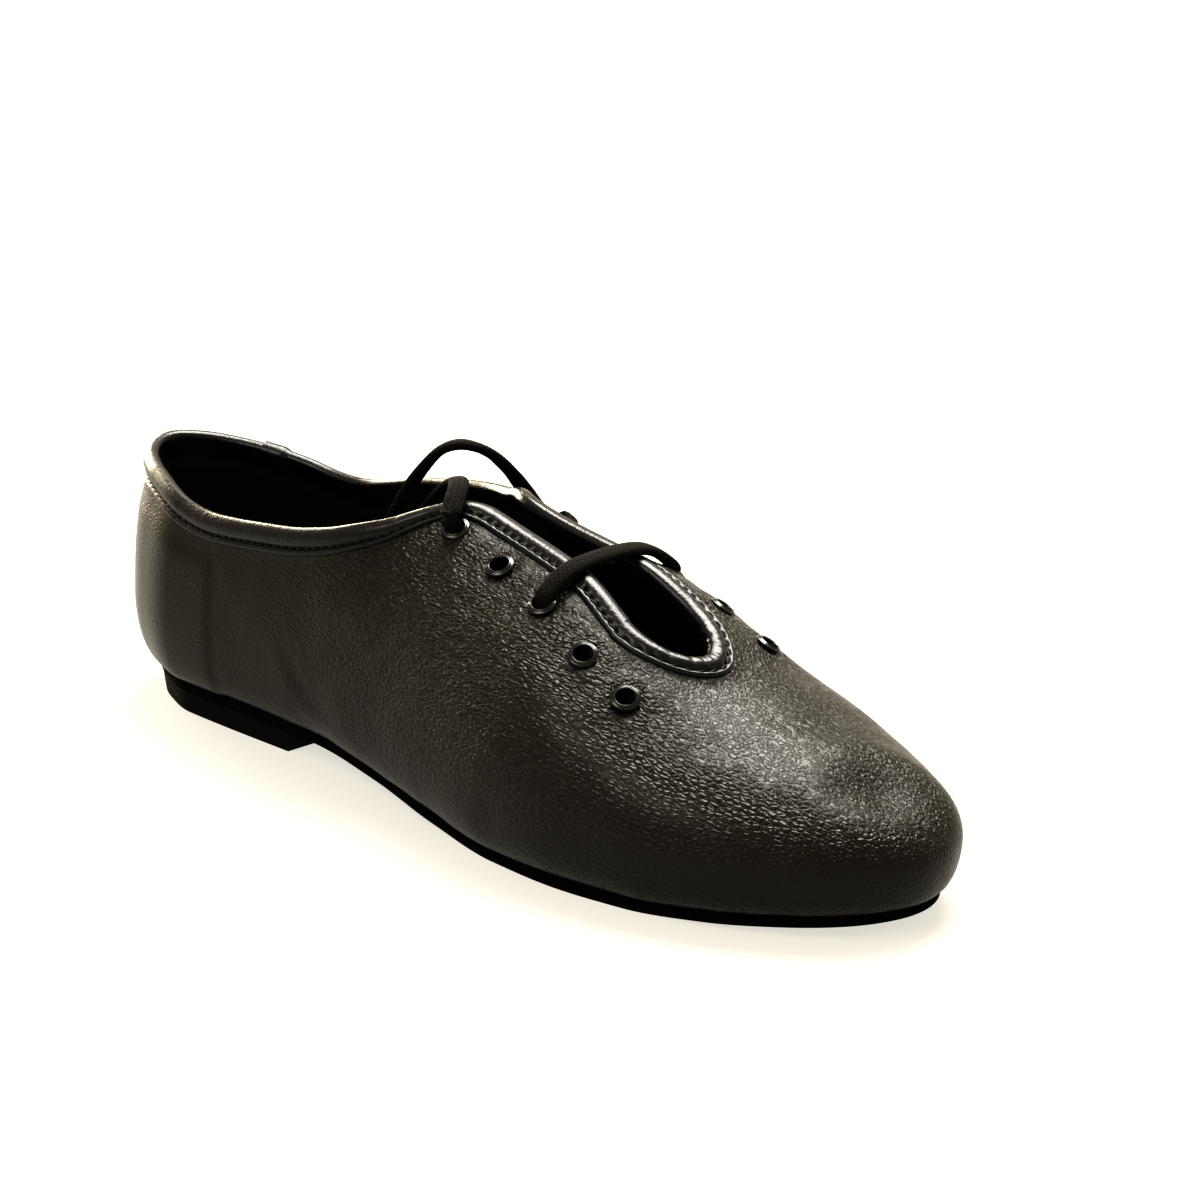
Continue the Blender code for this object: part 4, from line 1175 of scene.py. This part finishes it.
def smooth_path(points, spacing):
    """Evenly spaced points on a smooth curve through the given ones."""
    points = np.asarray(points, float)
    padded = np.vstack([2 * points[0] - points[1], points, 2 * points[-1] - points[-2]])
    path = []
    for before, start, end, after in zip(padded, padded[1:], padded[2:], padded[3:]):
        for t in np.arange(0, 1, 0.05):
            slope = 2 * start + (end - before) * t
            bend = (2 * before - 5 * start + 4 * end - after) * t * t
            twist = (3 * start - before - 3 * end + after) * t ** 3
            path.append(0.5 * (slope + bend + twist))
    path = np.array(path + [points[-1]])
    way = np.concatenate(([0], np.cumsum(np.linalg.norm(np.diff(path, axis=0), axis=1))))
    count = max(int(way[-1] / spacing), 4)
    even = np.linspace(0, way[-1], count + 1)
    return np.stack([np.interp(even, way, path[:, k]) for k in range(3)], -1), even


def braid(name, route, faces):
    """A flat braid along a route. faces gives the direction of its broad side at each route point."""
    path, way = smooth_path(route, LACE_STEP)
    marks = [0.0]
    for start, end in zip(route, route[1:]):
        marks.append(marks[-1] + math.dist(start, end))
    marks = np.array(marks) / marks[-1] * way[-1]
    looks = np.stack([np.interp(way, marks, np.asarray(faces)[:, k]) for k in range(3)], -1)
    piece = flat_blank(name, len(path) - 1, LACE_SIDES)
    column, row, columns, rows = grid_steps(piece)
    points = np.zeros((columns + 1, rows + 1, 3))
    strand = np.zeros((columns + 1, rows + 1))
    angle = 2 * np.pi * (np.arange(rows + 1) % rows) / rows
    for i, centre in enumerate(path):
        along = path[min(i + 1, columns)] - path[max(i - 1, 0)]
        along /= np.linalg.norm(along)
        face = looks[i] - along * np.dot(looks[i], along)
        face /= np.linalg.norm(face)
        across = np.cross(along, face)
        first = way[i] / BRAID_CELL / 2 + angle / (2 * np.pi) * BRAID_ROUND / 2
        second = way[i] / BRAID_CELL / 2 - angle / (2 * np.pi) * BRAID_ROUND / 2
        even = (np.floor(first) + np.floor(second)) % 2 == 0
        rise = np.where(even, np.abs(np.sin(np.pi * first)), np.abs(np.sin(np.pi * second)))
        strand[i] = rise
        ends = 1.0
        for away in (way[i], way[-1] - way[i]):
            ends *= math.sqrt(max(1 - max(1 - away / END_ROUNDING, 0) ** 2, 0.0009))
        cosine, sine = np.cos(angle), np.sin(angle)
        wide = np.sign(cosine) * np.abs(cosine) ** 0.8 * (LACE_WIDTH / 2 - BRAID_RISE + rise * BRAID_RISE)
        thick = np.sign(sine) * np.abs(sine) ** 0.8 * (LACE_THICKNESS / 2 - BRAID_RISE + rise * BRAID_RISE)
        points[i] = centre + ends * (wide[:, None] * across + thick[:, None] * face)
    lay(piece, points[column, row])
    # The strand height also sets the cotton's colour: a painted shade, darker in the hollows between
    # strands.
    paint(piece, "strand", strand[column, row])
    merge_seam(piece)
    outwards = (bpy.ops.mesh.normals_make_consistent, {"inside": False})
    edit(piece, (bpy.ops.mesh.fill_holes, {"sides": 0}), outwards)
    smooth(piece, 75)
    return piece


def over_skin(way, depth, lift):
    """A point over the leather, with the direction away from it."""
    points, normals = skin_at(way, np.array([depth]))
    return Vector(points[0] + normals[0] * lift), Vector(normals[0])


# %% [markdown]
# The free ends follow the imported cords' routes: out of the top eyelets, over the edge and down inside. The
# packed tubes start just off the holes. So the lateral braid begins a few millimetres earlier, in its hole,
# and the medial one meets the bar's braid, which comes out of its hole.

# %% The lace's two free ends
LATERAL_END = (
    (-0.0054, -0.0176, 0.0729), (-0.0078, -0.0138, 0.0760), (-0.0112, -0.0092, 0.0778),
    (-0.0155, -0.0052, 0.0777), (-0.0203, -0.0031, 0.0755), (-0.0247, -0.0030, 0.0715),
    (-0.0281, -0.0048, 0.0656), (-0.0300, -0.0080, 0.0580), (-0.0307, -0.0110, 0.0490),
    (-0.0309, -0.0128, 0.0400),
)
MEDIAL_END = (
    (-0.0115, 0.0274, 0.0614), (-0.0162, 0.0286, 0.0607), (-0.0206, 0.0289, 0.0623),
    (-0.0241, 0.0279, 0.0660), (-0.0258, 0.0250, 0.0708), (-0.0255, 0.0203, 0.0752),
    (-0.0252, 0.0160, 0.0785), (-0.0266, 0.0120, 0.0808), (-0.0295, 0.0086, 0.0815),
    (-0.0330, 0.0058, 0.0797), (-0.0364, 0.0033, 0.0750), (-0.0394, 0.0008, 0.0690),
    (-0.0420, -0.0018, 0.0610), (-0.0440, -0.0044, 0.0515), (-0.0454, -0.0062, 0.0410),
)
LATERAL_FACES = (
    (-0.3, 0.6, 0.8), (-0.3, 0.6, 0.8), (-0.2, 0.2, 1), (-0.2, 0.1, 1), (-0.6, 0.1, 0.8), (-1, 0, 0.4),
    (-1, 0, 0.2), (-1, -0.1, 0.1), (-1, -0.1, 0), (-1, -0.1, 0),
)
MEDIAL_FACES = (
    (0, 0.9, 0.4), (0, 0.95, 0.3), (0, 1, 0.2), (-0.1, 1, 0.2), (0, 1, 0.3), (0, 0.8, 0.6), (0.1, 0.6, 0.8),
    (0, 0.2, 1), (-0.2, -0.1, 1), (-0.5, -0.2, 0.8), (-0.8, -0.2, 0.5), (-1, -0.1, 0.3), (-1, 0, 0.2),
    (-1, 0, 0), (-1, 0, 0),
)


def route_length(route):
    _, way = smooth_path(route, 0.5 * MM)
    return float(way[-1])


def free_end(name, route, faces, start, node):
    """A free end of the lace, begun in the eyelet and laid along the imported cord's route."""
    full = [tuple(point) for point in start] + list(route)
    looks = [faces[0]] * len(start) + list(faces)
    piece = braid(name, full, looks)
    finish_piece(piece, COTTON, "lace_cotton", node)
    path, _ = smooth_path(route, 1.0 * MM)
    route_length(route)
    print(name, "is", round(route_length(route) * 1000, 1), "mm long")


lateral_hole, lateral_axis = EYELET_SPOTS[0]
in_hole = lateral_hole + lateral_axis * 0.2 * MM
free_end("lace_free_end_lateral", LATERAL_END, LATERAL_FACES, [in_hole], "lace_end_lateral")
free_end("lace_free_end_medial", MEDIAL_END, MEDIAL_FACES, [], "lace_end_medial")

# %% [markdown]
# Between its ends the lace comes up through the third eyelets as a bar over the throat, and runs hidden
# inside the facings up to the top eyelets, where it comes out again.

# %% The bar and the hidden runs
INNER_LIFT = -(WALL + 2.3 * MM)
BAR_LIFT = 2.75 * MM


def eyelet_place(number, side):
    return EYELET_PLACES[f"eyelet_{'lateral' if side == LATERAL else 'medial'}_{number}"]


def eyelet_stop(number, side, lift, lower=0.0):
    way, depth = eyelet_place(number, side)
    return over_skin(way, depth + lower, lift)


def half_bar(side):
    """Stops of one side, from the middle of the throat to the top eyelet's mouth."""
    way, _ = eyelet_place(3, side)
    return [
        over_skin(way, 1.6 * MM, BAR_LIFT),
        eyelet_stop(3, side, 1.9 * MM, -2.4 * MM),
        eyelet_stop(3, side, -0.8 * MM),
        eyelet_stop(3, side, INNER_LIFT, -0.5 * MM),
        eyelet_stop(2, side, INNER_LIFT - 0.6 * MM, 1.5 * MM),
        eyelet_stop(1, side, INNER_LIFT, 0.5 * MM),
        eyelet_stop(1, side, -0.6 * MM),
    ]


lateral_stops = half_bar(LATERAL)
medial_stops = half_bar(MEDIAL)
medial_stops += [eyelet_stop(1, MEDIAL, 2.3 * MM, 1.0 * MM), (Vector(MEDIAL_END[0]), medial_stops[-1][1])]
stops = lateral_stops[::-1] + medial_stops
bar_route = [tuple(stop) for stop, _ in stops]
bar_faces = [tuple(look) for _, look in stops]
lace_bar = braid("lace_through_eyelets", bar_route, bar_faces)
finish_piece(lace_bar, COTTON, "lace_cotton", "lace_bar")

# %% [markdown]
# The stage: a plain white floor and soft light. A broad panel above and behind gives the vamp its long
# highlight, a low one lights the heel from the left, and a weak one in front lifts the side towards the
# camera a little. That side stays dim, because that is what makes black leather look deep.


# %% Floor and light
def soft_panel(name, place, aim, size, power, colour):
    light = bpy.data.lights.new(name, "AREA")
    light.shape = "RECTANGLE"
    light.size, light.size_y = size
    light.energy = power
    light.color = shade(colour)[:3]
    lamp = bpy.data.objects.new(name, light)
    lamp.location = place
    lamp.rotation_euler = (Vector(aim) - Vector(place)).to_track_quat("-Z", "Y").to_euler()
    bpy.context.scene.collection.objects.link(lamp)


soft_panel("panel_above", (-0.26, 0.55, 1.15), (0, 0, 0.03), (0.80, 0.74), 25, "#fffdf8")
soft_panel("panel_left", (-0.90, 0.26, 0.24), (-0.08, 0, 0.04), (0.5, 0.44), 8.5, "#fff3d8")
soft_panel("panel_front", (-0.10, -0.85, 0.95), (0.02, 0, 0.04), (0.6, 0.5), 4.0, "#fff8ee")

bpy.ops.object.select_all(action="DESELECT")
bpy.ops.mesh.primitive_plane_add(size=12)
floor = bpy.context.object
floor.name = "floor"
paper, _ = new_material(
    "white_paper", Base_Color=shade("#7d7b77"), Roughness=0.95, Specular_IOR_Level=0.1,
    Emission_Color=shade("#fffcf4"), Emission_Strength=0.44)
floor.data.materials.append(paper)

world = bpy.data.worlds.new("studio")
bpy.context.scene.world = world
world.use_nodes = True
backdrop = world.node_tree.nodes["Background"]
backdrop.inputs["Color"].default_value = shade("#fff1dc")
backdrop.inputs["Strength"].default_value = 0.62
bpy.context.scene.view_settings.view_transform = "Standard"
bpy.context.scene.view_settings.look = "Very High Contrast"
